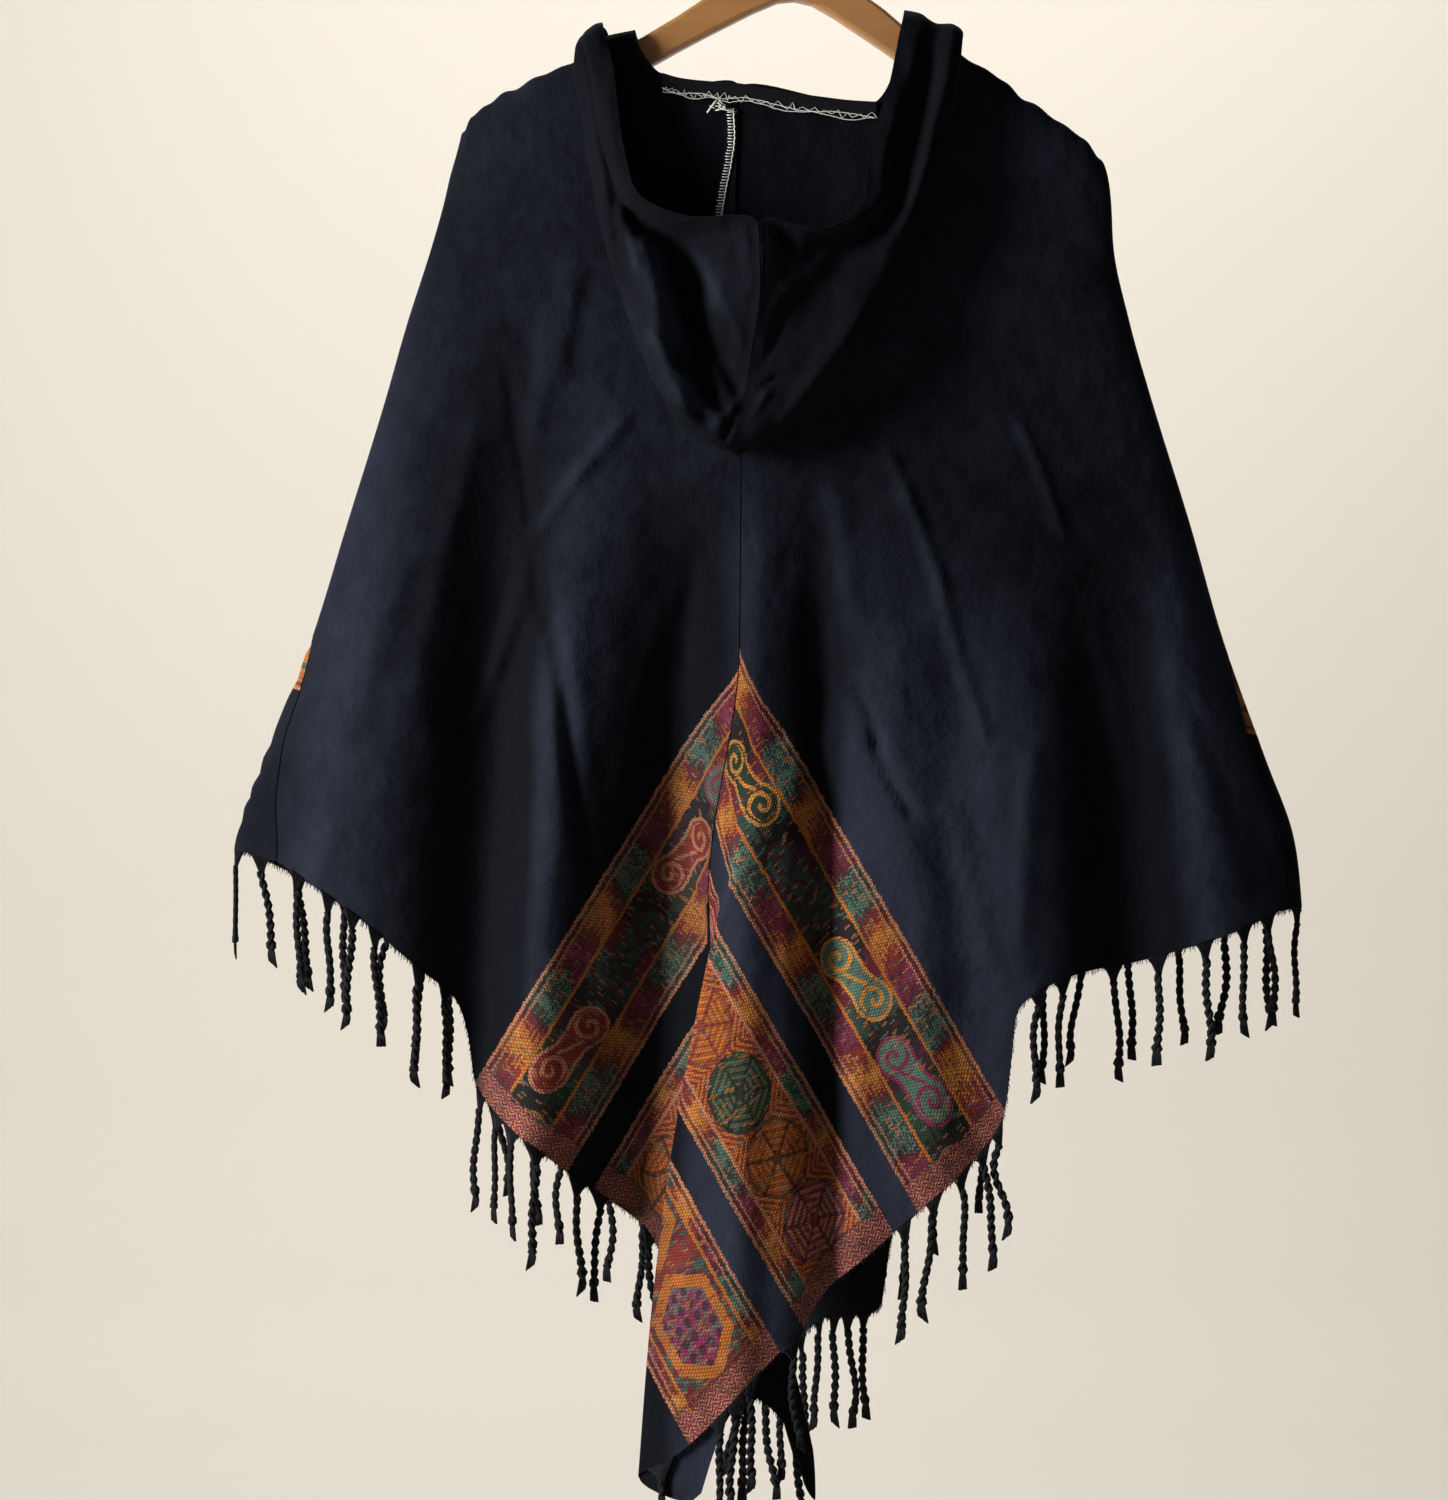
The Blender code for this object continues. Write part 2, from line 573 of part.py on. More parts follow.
def fringe_mesh(side, face):
    """Corners and faces of a strip along the hem with ropes hanging from its lower side."""
    v, points, onward = hem_line(side, face)
    roots = ROPE_PLACES[face, side]
    stations = sorted(
        {
            (value, None)
            for value in np.clip(v, STRIP_START, STRIP_ENDS[face, side])
            if all(abs(value - root) > ROPE_ROOT / 2 + 0.5 for root in roots)
        }
        | {(root - ROPE_ROOT / 2, i) for i, root in enumerate(roots)}
        | {(root + ROPE_ROOT / 2, None) for root in roots},
        key=lambda station: station[0],
    )
    at = np.array([station[0] for station in stations])
    line = np.stack([np.interp(at, v, points[:, k]) for k in range(3)], axis=-1)
    on = np.stack([np.interp(at, v, onward[:, k]) for k in range(3)], axis=-1)
    steps = np.diff(line, axis=0)
    steps = steps / np.linalg.norm(steps, axis=1, keepdims=True)
    along = np.concatenate([steps[:1], steps[:-1] + steps[1:], steps[-1:]])
    corners, faces = [], []
    for point, way, tangent in zip(line, on, along):
        tangent = unit(tangent)
        way = unit(way - tangent * np.dot(way, tangent))
        across = unit(np.cross(tangent, way))
        for down, sign in ((0, -1), (0, 1), (STRIP, 1), (STRIP, -1)):
            corners.append(point + way * (STRIP_GAP + down) + across * sign * CLOTH / 2)
    count = len(stations)
    faces.append((0, 1, 2, 3))
    faces.append(tuple(4 * (count - 1) + k for k in (3, 2, 1, 0)))
    for i in range(count - 1):
        a, b = 4 * i, 4 * (i + 1)
        for k in range(4):
            if k == 2 and stations[i][1] is not None:
                continue
            n = (k + 1) % 4
            faces.append((a + k, b + k, b + n, a + n))
        if stations[i][1] is not None:
            hang_rope(corners, faces, (a + 2, b + 2, b + 3, a + 3), face, stations[i][1] + 2 * side + face)
    return np.array(corners), faces


def hang_rope(corners, faces, ring, face, seed):
    """Extrudes one rope down from a face of the strip, swaying a little as it hangs."""
    root = [np.array(corners[i]) for i in ring]
    middle = sum(root) / 4
    along = root[1] - root[0]
    along = unit(np.array((along[0], along[1], 0)))
    through = np.array((-along[1], along[0], 0))
    if np.dot(root[3] - root[0], through) < 0:
        through = -through
    lean = SWAY * math.sin(2.4 * seed)
    columns = (ROPE_SECTIONS[name] for name in ("down", "width", "depth", "sway"))
    for down, width, depth, sway in zip(*columns):
        centre = middle + along * lean * sway + np.array((0, face * ROPE_OUT, down))
        fresh = []
        for a, b in ((-1, -1), (1, -1), (1, 1), (-1, 1)):
            fresh.append(len(corners))
            corners.append(centre + along * a * width / 2 + through * b * depth / 2)
        for k in range(4):
            n = (k + 1) % 4
            faces.append((ring[k], ring[n], fresh[n], fresh[k]))
        ring = fresh
    faces.append(tuple(ring))


# ---------------------------------------------------------------------------------------------- seam allowances

NECK_ALLOWANCE = 13.0
ALLOWANCE_OUT = IN_OUT + CLOTH + 0.5
NECK_ALLOWANCE_ENDS = {LEFT: 0.7, RIGHT: 0.72}  # shares of the half necklines that it is seen on
HOOD_ALLOWANCE = table("drop x0 x1", (165, -54, -45.5), (190, -54.5, -46), (220, -58, -47), (249, -60, -47))


def neck_allowance_grid():
    """A strip that hangs from the neck seam inside the hood, left to right."""
    line = []
    for side in (LEFT, RIGHT):
        shares = np.linspace(0, NECK_ALLOWANCE_ENDS[side], 6)
        neck = NECKLINE[BACK, side]
        half = [(curve(neck, "share", "x", f), curve(neck, "share", "drop", f)) for f in shares]
        line = half[:0:-1] + line if side == LEFT else line + half
    rows = []
    for down in (0.5, NECK_ALLOWANCE / 2, NECK_ALLOWANCE):
        rows.append([(x, body_y(BACK, x, drop + down) - ALLOWANCE_OUT - 0.6, drop + down) for x, drop in line])
    return np.array(rows, float)


def hood_allowance_grid():
    """A strip beside the hood's centre seam, lying on the inside of the left half."""
    rows = []
    for drop, x0, x1 in zip(*(HOOD_ALLOWANCE[name] for name in ("drop", "x0", "x1"))):
        rows.append([(x, body_y(BACK, x, drop) - ALLOWANCE_OUT, drop) for x in (x0, (x0 + x1) / 2, x1)])
    return np.array(rows, float)


# --------------------------------------------------------------------------------------------------- the hanger

HANGER_THICK = 12.0
HANGER_ROUND = 4.0
HANGER = table(  # half of the flat outline, before it is tilted
    "x top bottom",
    (0, 53, 86),
    (12, 56, 88),
    (30, 67, 97),
    (64, 88.5, 117),
    (81, 101.5, 127.5),
    (105, 118, 143),
    (150, 146, 171),
    (176, 156, 184),
    (198, 169.5, 197),
    (208, 177, 203),
    (213, 186, 199),
)
WIRE = 3.6
HOOK_RADIUS = 19.0
HOOK_START, HOOK_END = -72, 205  # degrees round the hook's circle
SHANK_TOP = 41.0


def tilted(x, drop):
    """A place on the hanger after it is turned about the hook."""
    return (x * math.cos(TILT) - drop * math.sin(TILT), x * math.sin(TILT) + drop * math.cos(TILT))


def hanger_outline():
    half = list(zip(HANGER["x"], HANGER["top"]))
    lower = list(zip(HANGER["x"], HANGER["bottom"]))[::-1]
    right = half + lower
    left = [(-x, drop) for x, drop in right[::-1] if x > 0]
    return [tilted(x, drop) for x, drop in right + left]


def hook_line():
    """The wire's centre line from the wood up the shank and round the hook."""
    centre = HOOK_RADIUS - WIRE / 2
    turns = np.radians(np.linspace(HOOK_START, HOOK_END, 20))
    ring = [(HOOK_RADIUS * math.cos(a), centre - HOOK_RADIUS * math.sin(a)) for a in turns]
    shank = [(0, HANGER["top"][0] - SEAM), (0, 47), (1.2, SHANK_TOP)]
    return [tilted(x, drop) for x, drop in shank + ring]


# ------------------------------------------------------------------------------------------------ Blender objects


def make_material(name, colour, roughness, metallic=0.0):
    material = bpy.data.materials.new(name)
    material.use_nodes = True
    shader = material.node_tree.nodes["Principled BSDF"]
    shader.inputs["Base Color"].default_value = (*colour, 1)
    shader.inputs["Roughness"].default_value = roughness
    shader.inputs["Metallic"].default_value = metallic
    return material


def to_world(points):
    """Millimetres with drop downwards to metres with +Z up."""
    points = np.array(points, float).reshape(-1, 3) * MM
    points[:, 2] *= -1
    return [tuple(point) for point in points]


def add_object(name, data, collection, material):
    made = bpy.data.objects.new(name, data)
    data.materials.append(material)
    collection.objects.link(made)
    return made


def add_sheet(name, grid, collection, material):
    """One piece of cloth: a surface through the grid, thickened evenly to both sides."""
    rows, columns = grid.shape[:2]
    faces = []
    for i in range(rows - 1):
        for j in range(columns - 1):
            a = i * columns + j
            faces.append((a, a + 1, a + columns + 1, a + columns))
    mesh = bpy.data.meshes.new(name)
    mesh.from_pydata(to_world(grid), [], faces)
    shape = bmesh.new()
    shape.from_mesh(mesh)
    bmesh.ops.remove_doubles(shape, verts=shape.verts, dist=1e-6)
    bmesh.ops.recalc_face_normals(shape, faces=shape.faces)
    shape.to_mesh(mesh)
    shape.free()
    mesh.shade_smooth()
    made = add_object(name, mesh, collection, material)
    wall = made.modifiers.new("wall", "SOLIDIFY")
    wall.thickness = CLOTH * MM
    wall.offset = 0
    return made


def add_fringe(name, side, face, collection, material):
    corners, faces = fringe_mesh(side, face)
    mesh = bpy.data.meshes.new(name)
    mesh.from_pydata(to_world(corners), [], faces)
    shape = bmesh.new()
    shape.from_mesh(mesh)
    bmesh.ops.recalc_face_normals(shape, faces=shape.faces)
    shape.to_mesh(mesh)
    shape.free()
    return add_object(name, mesh, collection, material)


def add_hanger(collection, wood, steel):
    flat = bpy.data.curves.new("hanger_wood_outline", "CURVE")
    flat.dimensions = "2D"
    flat.fill_mode = "BOTH"
    flat.extrude = HANGER_THICK / 2 * MM
    outline_points = hanger_outline()
    spline = flat.splines.new("POLY")
    spline.points.add(len(outline_points) - 1)
    for point, (x, drop) in zip(spline.points, outline_points):
        point.co = (x * MM, -drop * MM, 0, 1)
    spline.use_cyclic_u = True
    body = add_object("hanger_wood", flat, collection, wood)
    body.rotation_euler = (math.pi / 2, 0, 0)
    weld = body.modifiers.new("weld", "WELD")
    weld.merge_threshold = 0.00001
    edge = body.modifiers.new("edge", "BEVEL")
    edge.width = HANGER_ROUND * MM
    edge.segments = 2
    edge.limit_method = "ANGLE"
    edge.angle_limit = math.radians(60)

    wire = bpy.data.curves.new("hanger_hook_wire", "CURVE")
    wire.dimensions = "3D"
    wire.bevel_depth = WIRE / 2 * MM
    wire.bevel_resolution = 2
    wire.use_fill_caps = True
    line = hook_line()
    spline = wire.splines.new("POLY")
    spline.points.add(len(line) - 1)
    for point, (x, drop) in zip(spline.points, line):
        point.co = (x * MM, 0, -drop * MM, 1)
    add_object("hanger_hook", wire, collection, steel)


def main():
    for old in list(bpy.data.objects):
        bpy.data.objects.remove(old)
    collection = bpy.data.collections.new("poncho_on_hanger")
    bpy.context.scene.collection.children.link(collection)
    cloth = make_material("navy_wool", NAVY, 0.9)
    yarn = make_material("black_yarn", BLACK_YARN, 0.9)
    overlocked = make_material("overlocked_cloth", OVERLOCK_CLOTH, 0.9)
    wood = make_material("varnished_wood", WOOD, 0.35)
    steel = make_material("bright_steel", STEEL, 0.3, 1.0)
    for face in (BACK, FRONT):
        for side in (LEFT, RIGHT):
            place = f"{FACE_NAMES[face]}_{SIDE_NAMES[side]}"
            add_sheet(place, panel_grid(side, face), collection, cloth)
            add_fringe(f"fringe_{place}", side, face, collection, yarn)
    for side in (LEFT, RIGHT):
        add_sheet(f"hood_{SIDE_NAMES[side]}", hood_half(side), collection, cloth)
    add_sheet("neck_allowance", neck_allowance_grid(), collection, overlocked)
    add_sheet("hood_allowance", hood_allowance_grid(), collection, overlocked)
    add_hanger(collection, wood, steel)


main()
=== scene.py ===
"""A hooded, fringed poncho on a wooden hanger, seen from its back when looked at along +Y.

The origin is the point where the hanger's hook rests on its rail. Sizes are in millimetres until a mesh is
made, "drop" is a distance down from that point and "out" one away from the surface that something lies on.
"""

import math
import random
from functools import partialmethod

import bmesh
import bpy
import numpy as np
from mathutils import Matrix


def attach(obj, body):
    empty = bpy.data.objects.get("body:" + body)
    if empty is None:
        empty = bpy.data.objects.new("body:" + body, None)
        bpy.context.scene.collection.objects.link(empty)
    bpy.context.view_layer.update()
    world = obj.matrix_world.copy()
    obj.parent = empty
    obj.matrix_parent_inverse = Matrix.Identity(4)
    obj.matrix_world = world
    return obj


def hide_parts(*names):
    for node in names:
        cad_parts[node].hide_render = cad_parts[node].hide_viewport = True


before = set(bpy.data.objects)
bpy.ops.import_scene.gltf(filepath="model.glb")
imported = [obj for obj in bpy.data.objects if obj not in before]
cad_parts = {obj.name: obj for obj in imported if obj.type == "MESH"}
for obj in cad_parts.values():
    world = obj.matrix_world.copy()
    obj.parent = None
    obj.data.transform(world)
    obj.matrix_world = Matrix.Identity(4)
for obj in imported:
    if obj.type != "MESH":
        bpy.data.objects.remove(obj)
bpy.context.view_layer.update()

# -------------------------------------------------------------------------------------------------- the room
# A plain pale wall and floor in one sweep, well behind the garment, and soft light from a wide lamp at its
# left, as beside a window. The camera stands level with the middle of the picture.


def new_material(name, settings):
    """A new material with its node tree and its shader, set as given."""
    material = bpy.data.materials.new(name)
    material.use_nodes = True
    shader = material.node_tree.nodes["Principled BSDF"]
    for setting, value in settings.items():
        shader.inputs[setting].default_value = value
    return material, material.node_tree, shader


sweep = [  # how far back and how high, in metres
    (-6.0, -2.1), (3.0, -2.1), (3.35, -2.05), (3.65, -1.9), (3.85, -1.65), (3.95, -1.3), (4.0, -0.9),
    (4.0, 4.0),
]
SWEEP_HALF_WIDE = 7
corners = [(x, y, z) for y, z in sweep for x in (-SWEEP_HALF_WIDE, SWEEP_HALF_WIDE)]
faces = [(2 * i, 2 * i + 1, 2 * i + 3, 2 * i + 2) for i in range(len(sweep) - 1)]
wall_mesh = bpy.data.meshes.new("pale_sweep")
wall_mesh.from_pydata(corners, [], faces)
wall_mesh.shade_smooth()
plaster, _, _ = new_material("pale_plaster", {"Base Color": (0.76, 0.72, 0.655, 1), "Roughness": 0.9})
wall_mesh.materials.append(plaster)
wall = bpy.data.objects.new("pale_sweep", wall_mesh)
bpy.context.scene.collection.objects.link(wall)

LAMPS = (  # name, place, the place it is turned to, width, height, watts, colour
    ("window", (-2.9, -1.2, 0.15), (-0.02, 0, -0.6), 0.9, 1.4, 218, (1.0, 0.99, 0.97)),
    ("room", (1.2, -3.2, 0.2), (0, 0, -0.6), 2.4, 2.4, 4, (1.0, 0.96, 0.9)),
    ("wall_wash", (0.3, 1.6, 2.6), (-0.1, 4.0, -2.2), 4.0, 2.0, 116, (1.0, 0.97, 0.93)),
)
for name, place, aim, width, height, watts, colour in LAMPS:
    lamp = bpy.data.lights.new(name, "AREA")
    lamp.shape = "RECTANGLE"
    lamp.size = width
    lamp.size_y = height
    lamp.energy = watts
    lamp.color = colour
    stand = bpy.data.objects.new(name, lamp)
    bpy.context.scene.collection.objects.link(stand)
    stand.location = place
    way = [aim[i] - place[i] for i in range(3)]
    flat_way = math.hypot(way[0], way[1])
    stand.rotation_euler = (math.pi / 2 + math.atan2(way[2], flat_way), 0, math.atan2(-way[0], way[1]))

world = bpy.data.worlds.new("soft_room")
bpy.context.scene.world = world
world.use_nodes = True
world.node_tree.nodes["Background"].inputs["Color"].default_value = (0.93, 0.9, 0.86, 1)
world.node_tree.nodes["Background"].inputs["Strength"].default_value = 0.04
bpy.context.scene.view_settings.view_transform = "Standard"

camera_data = bpy.data.cameras.new("camera")
camera_data.lens = 75.4
camera_data.sensor_width = 36
camera = bpy.data.objects.new("camera", camera_data)
camera.location = (-0.055, -2.225, -0.616)
camera.rotation_euler = (math.pi / 2, 0, 0)
bpy.context.scene.collection.objects.link(camera)
bpy.context.scene.camera = camera

# -------------------------------------------------------------------------------------- the four body panels
# Brushed wool twill, woven near-black with three patterned bands, cut as four quarters and sewn at centres,
# shoulders and arms. Each is a sheet: v runs up its fringed hem from the arm seam (0) to the centre seam
# (HEM), and t runs from the neck and shoulder edge (0) down to the hem (1).

MM = 0.001
CLOTH = 1.3  # thickness of the woven cloth
SEAM = 0.08  # gap between pieces that are sewn together
BACK, FRONT = -1, 1
LEFT, RIGHT = -1, 1
SIDE_NAMES = {LEFT: "left", RIGHT: "right"}
FACE_NAMES = {BACK: "back", FRONT: "front"}

HEM = 758.0  # one panel's fringed hem, as cut
NECK_SHARE = 0.375  # share of a panel's top edge that is neckline
NECK_V = HEM * (1 - NECK_SHARE)


def table(columns, *rows):
    """Named columns from rows of numbers."""
    return {name: np.array([row[i] for row in rows], float) for i, name in enumerate(columns.split())}


def curve(rows, key, column, at):
    """A smooth curve through a table's points that never swings past them."""
    x, y = rows[key], rows[column]
    at = np.clip(at, x[0], x[-1])
    slope = np.diff(y) / np.diff(x)
    before, after = slope[:-1], slope[1:]
    turning = before * after <= 0
    middle = np.where(turning, 0, 2 * before * after / np.where(turning, 1, before + after))
    tangent = np.concatenate([slope[:1], middle, slope[-1:]])
    i = np.clip(np.searchsorted(x, at, side="right") - 1, 0, len(slope) - 1)
    width = x[i + 1] - x[i]
    f = (at - x[i]) / width
    return (
        y[i] * (1 + 2 * f) * (1 - f) ** 2
        + y[i + 1] * f**2 * (3 - 2 * f)
        + width * (tangent[i] * f * (1 - f) ** 2 - tangent[i + 1] * f**2 * (1 - f))
    )


def smooth(f):
    """From 0 to 1 with a soft start and end."""
    f = np.clip(f, 0, 1)
    return f * f * (3 - 2 * f)


def rising(at, start, reach):
    """0 up to a start, then smoothly up to 1 over a reach."""
    return smooth((at - start) / reach)


def blend(a, b, f):
    return a + (b - a) * f


# The body's outline at each drop: where it ends left and right, how far each face stands from the middle, and
# how square its section is, from nearly flat over the hanger to rounded below.
OUTLINE = table(
    "drop left right depth square",
    (98, -92, 66, 11, 5), (104, -105, 76, 11, 5), (112, -120, 91, 11, 5), (120, -142, 104, 11.5, 5),
    (128, -158, 118, 12, 5), (140, -185, 138, 12, 4.8), (154, -213, 155, 12.5, 4.6),
    (168, -232, 176, 13, 4.4), (182, -240, 196, 14, 4.2), (196, -244, 209, 15, 4),
    (210, -248, 216, 16, 3.8), (231, -253, 218.5, 18, 3.5), (259, -261, 220, 20, 3.2),
    (315, -279, 232, 24, 2.9), (371, -295, 248, 27.5, 2.7), (455, -321, 274, 32, 2.5),
    (539, -347, 298, 36, 2.4), (623, -381, 328, 40, 2.3), (679, -400, 348, 42, 2.2),
    (707, -403.5, 352, 43, 2.2), (740, -404, 354, 43, 2.2), (1200, -404, 354, 40, 2.2),
)

# How far the front wraps round onto the back before it meets the arm seam.
ARM_SEAM = table(
    "drop left right",
    (530, 0, 0), (552, 4.5, 2), (579, 8.5, 5), (606, 11, 8), (640, 19, 10), (694, 34, 11), (740, 34, 12),
)

# The neckline, from the centre (share 0) to the top of the hanger's arm (share 1).
NECKLINE = {
    (BACK, LEFT): table("share x drop", (0, -44, 147), (0.45, -80, 144), (0.75, -102, 138), (1, -120, 112)),
    (BACK, RIGHT): table("share x drop", (0, -44, 147), (0.45, 10, 156), (0.8, 52, 160), (1, 76, 104)),
    (FRONT, LEFT): table("share x drop", (0, -36, 225), (0.4, -75, 198), (0.75, -107, 150), (1, -120, 112)),
    (FRONT, RIGHT): table("share x drop", (0, -36, 225), (0.4, 15, 212), (0.75, 60, 162), (1, 76, 104)),
}
SHOULDER = {LEFT: (112, 190), RIGHT: (104, 214)}  # drops at the neck and past the hanger's end

# The fringed hems as they hang. The back's are places across, the front's are distances in from the outline.
BACK_HEM = {
    LEFT: table(
        "v x drop",
        (0, -370, 694), (95, -317, 729), (190, -268, 770), (240, -244, 792), (275, -236, 815),
        (334, -230, 850), (424, -167, 907), (515, -104, 961), (HEM, -22, 1150),
    ),
    RIGHT: table(
        "v x drop",
        (0, 342, 726), (38, 316, 738), (110, 264, 756), (150, 229, 766), (190, 197, 771), (232, 166, 782),
        (258, 148, 799), (296, 144, 833), (334, 139, 869), (426, 78, 938), (450, 64, 950), (543, 1, 1016),
        (HEM, -22, 1150),
    ),
}
FRONT_HEM = {
    LEFT: table(
        "v inward drop",
        (0, -34, 694), (40, 0, 687), (90, 34, 701), (160, 86, 724), (235, 136, 762), (300, 168, 819),
        (334, 178, 850), (440, 234, 896), (540, 297, 955), (650, 342, 1029), (HEM, 384, 1088),
    ),
    RIGHT: table(
        "v inward drop",
        (0, -12, 726), (20, 0, 728), (80, 37, 737), (150, 89, 752), (230, 156, 766), (290, 201, 794),
        (334, 212, 850), (440, 282, 931), (500, 291, 970), (560, 300, 1017), (620, 334, 1024),
        (680, 351, 1037), (HEM, 374, 1088),
    ),
}

# The centre-back seam leans left of the straight line between neck and point by this much.
CENTRE_SEAM = table("t shift", (0, 0), (0.4, -9), (0.573, -34), (0.74, -28), (0.86, -18), (1, 0))
SEAM_REACH = 7  # how fast that lean dies away across a panel

# The pleat under the centre back: how the hem lies over itself either side of the centre seam.
PLEAT_START = 0.573  # t where it begins to fold over
PLEAT_GROWTH = {LEFT: 0.65, RIGHT: 0.85}
PLEAT_TURN = 0.612  # where its inner leg stands square to the body, and the seam along it opens a little
PLEAT_RISE = 0.08  # it starts to stand out this much higher
PLEAT = {
    LEFT: table(
        "v across down out",
        (560, 0, 0, 0), (640, 14, 0, 0), (676, 28, -8, 0), (690, 34, -8, 0), (704, 41, 22, 0),
        (709, 43.7, 26, 0.6), (714, 44.4, 24, 1.9), (719, 43, 10, 3.2), (726, 39, -22, 4.0),
        (738, 25, -60, 4.6), (HEM, 0, -112, 5.9),
    ),
    RIGHT: table(
        "v across down out",
        (430, 0, 0, 0), (543, 0, 0, 9), (567, -15, 2, 11.5), (659, -76, 17, 12.4), (676, -93, 19, 12.4),
        (681, -97.8, 19, 11.8), (686, -99, 19, 10.4), (691, -97.5, 19, 8.9), (698, -91, 19, 8.1),
        (714, -58, 16, 7.6), (722, -46, -18, 7.3), (732, -36, -50, 7.0), (HEM, 0, -112, 5.9),
    ),
}

# The largest folds: ridges stand out, troughs have a negative "out". Each runs down a line and grows with it.
FOLD_COLUMNS = "x0 drop0 x1 drop1 width out"
FOLDS = {
    BACK: table(
        FOLD_COLUMNS,
        (-266, 231, -345, 740, 30, 6), (-205, 290, -228, 742, 34, -21), (-160, 380, -188, 800, 26, 15),
        (-80, 385, -110, 880, 28, -23), (-30, 400, -34, 560, 17, 5), (10, 400, 14, 740, 15, -13),
        (50, 420, 88, 850, 28, 10), (126, 420, 150, 800, 40, 6), (206, 400, 226, 770, 32, -17),
        (240, 300, 300, 750, 26, 10),
    ),
    FRONT: table(
        FOLD_COLUMNS,
        (-200, 260, -300, 720, 34, -13), (-150, 300, -190, 820, 34, 11), (-90, 330, -110, 900, 30, -14),
        (-30, 330, -24, 950, 30, 10), (50, 330, 60, 900, 32, -14), (120, 300, 150, 800, 34, 11),
        (180, 260, 230, 740, 30, -12),
    ),
}

# Creases that handling and folding left in the cloth: thin, of even strength, and bowed off a straight line.
CREASE_COLUMNS = "x0 drop0 x1 drop1 width out bow"
CREASES = {
    BACK: table(
        CREASE_COLUMNS,
        (-113, 372, -190, 470, 6, 2.6, -4), (-190, 470, -216, 560, 7, 2.0, 2),
        (-212, 330, -184, 520, 6, -1.8, 3), (-160, 262, -172, 356, 9, 1.6, 2),
        (-148, 275, -160, 350, 8, -1.3, -2), (-178, 300, -190, 400, 8, 1.6, 2),
        (-188, 482, -160, 640, 6, -2.2, 4), (-166, 560, -150, 695, 7, -2.0, -3),
        (-194, 500, -226, 590, 7, 1.8, 0), (-225, 360, -262, 520, 10, 1.8, 3),
        (-262, 470, -318, 650, 12, -2.2, 0), (-96, 500, -126, 640, 10, 1.8, 0),
        (-75, 470, -84, 560, 8, -1.4, 0), (-128, 700, -134, 800, 9, 1.6, 0),
        (55, 398, 96, 500, 5, 2.0, 2), (90, 480, 124, 600, 5, 1.8, -2), (148, 378, 181, 462, 5, 1.8, 2),
        (29, 563, 52, 612, 5, -2.0, 3), (46, 600, 74, 660, 5, -2.2, -3), (100, 640, 128, 760, 9, 1.6, 0),
        (20, 420, 34, 520, 9, 1.4, 0), (205, 520, 232, 640, 8, 1.6, 0), (262, 560, 316, 715, 7, -2.4, 4),
        (290, 575, 335, 690, 6, 1.8, 0), (160, 600, 150, 740, 9, 1.6, 0),
        (-300, 600, -340, 700, 8, 1.6, 0),
    ),
    FRONT: table(
        CREASE_COLUMNS,
        (-60, 330, -140, 470, 7, 2.2, -4), (-150, 420, -175, 600, 8, -2.0, 3),
        (40, 330, 90, 500, 7, 2.0, 3), (110, 420, 160, 560, 7, -1.8, -3), (-20, 500, -40, 700, 9, 1.8, 2),
        (60, 560, 76, 760, 9, 1.8, 2), (-210, 480, -260, 620, 9, -2.0, 3),
        (180, 470, 230, 620, 9, 2.0, -3),
    ),
}
FOLD_DEPTH, CREASE_DEPTH = 1.25, 1.4  # how much deeper all of them are than their rows say
DRAPE = ((95, 2.6, 0.45), (34, 1.2, 0.6), (13, 0.36, 0.8))  # soft unevenness: size, height, stretch downwards
DRAPE_FROM = (250, 160)  # the drop where it starts, and how far down it takes to grow
TOP_LONG = 224.0  # length that a panel's whole top edge counts for in the spacing of its puckers
GATHER, GATHER_FINE = 17.0, 4.1  # how close the large and the small puckers lie along the shoulder seam
GATHER_RISE = 0.8
GATHER_FROM, GATHER_END = 0.06, 0.075  # they are full this share past the neck, and have died away at this t

# The places along the hem and the shares down the panel that folds and edges need in the mesh.
BACK_COLUMNS = {
    LEFT: (0, 40, 90, 140, 190, 225, 255, 285, 334, 379, 424, NECK_V, NECK_V + 6, 515, 560, 600, 640, 675,
           704, 709, 714, 719, 726, 738, HEM),
    RIGHT: (0, 38, 80, 125, 175, 212, 240, 262, 296, 334, 380, 426, NECK_V, NECK_V + 3, 510, 543, 567, 600,
            630, 659, 676, 681, 686, 691, 698, 722, HEM),
}
FRONT_COLUMNS = {
    LEFT: (0, 14, 28, 40, 60, 90, 125, 160, 235, 300, 334, 387, 440, NECK_V, NECK_V + 6, 540, 595, 650, HEM),
    RIGHT: (0, 7, 14, 20, 32, 55, 90, 150, 230, 290, 334, 387, 440, NECK_V, NECK_V + 3, 535, 570, 622, 680,
            HEM),
}
BACK_ROWS = (0, 0.005, 0.016, 0.04, 0.075, 0.12, 0.19, 0.27, 0.36, 0.45, 0.52, 0.573, 0.59, 0.603, 0.614,
             0.625, 0.64, 0.66, 0.7, 0.76, 0.82, 0.88, 0.94, 1)
FRONT_ROWS = (0, 0.005, 0.02, 0.06, 0.12, 0.22, 0.34, 0.45, 0.573, 0.614, 0.66, 0.7, 0.76, 0.82, 0.88,
              0.94, 1)


def finer(values, step):
    """More places between the known ones, none further apart than a step, and three where a fold turns."""
    made = [values[0]]
    for a, b in zip(values, values[1:]):
        count = max(1, math.ceil((b - a) / step - 1e-6), 3 if b - a < step * 1.6 else 1)
        made += [a + (b - a) * (i + 1) / count for i in range(count)]
    return np.array(made)


def outline(side, drop):
    """Where the body ends at one side, as x."""
    return curve(OUTLINE, "drop", SIDE_NAMES[side], drop)


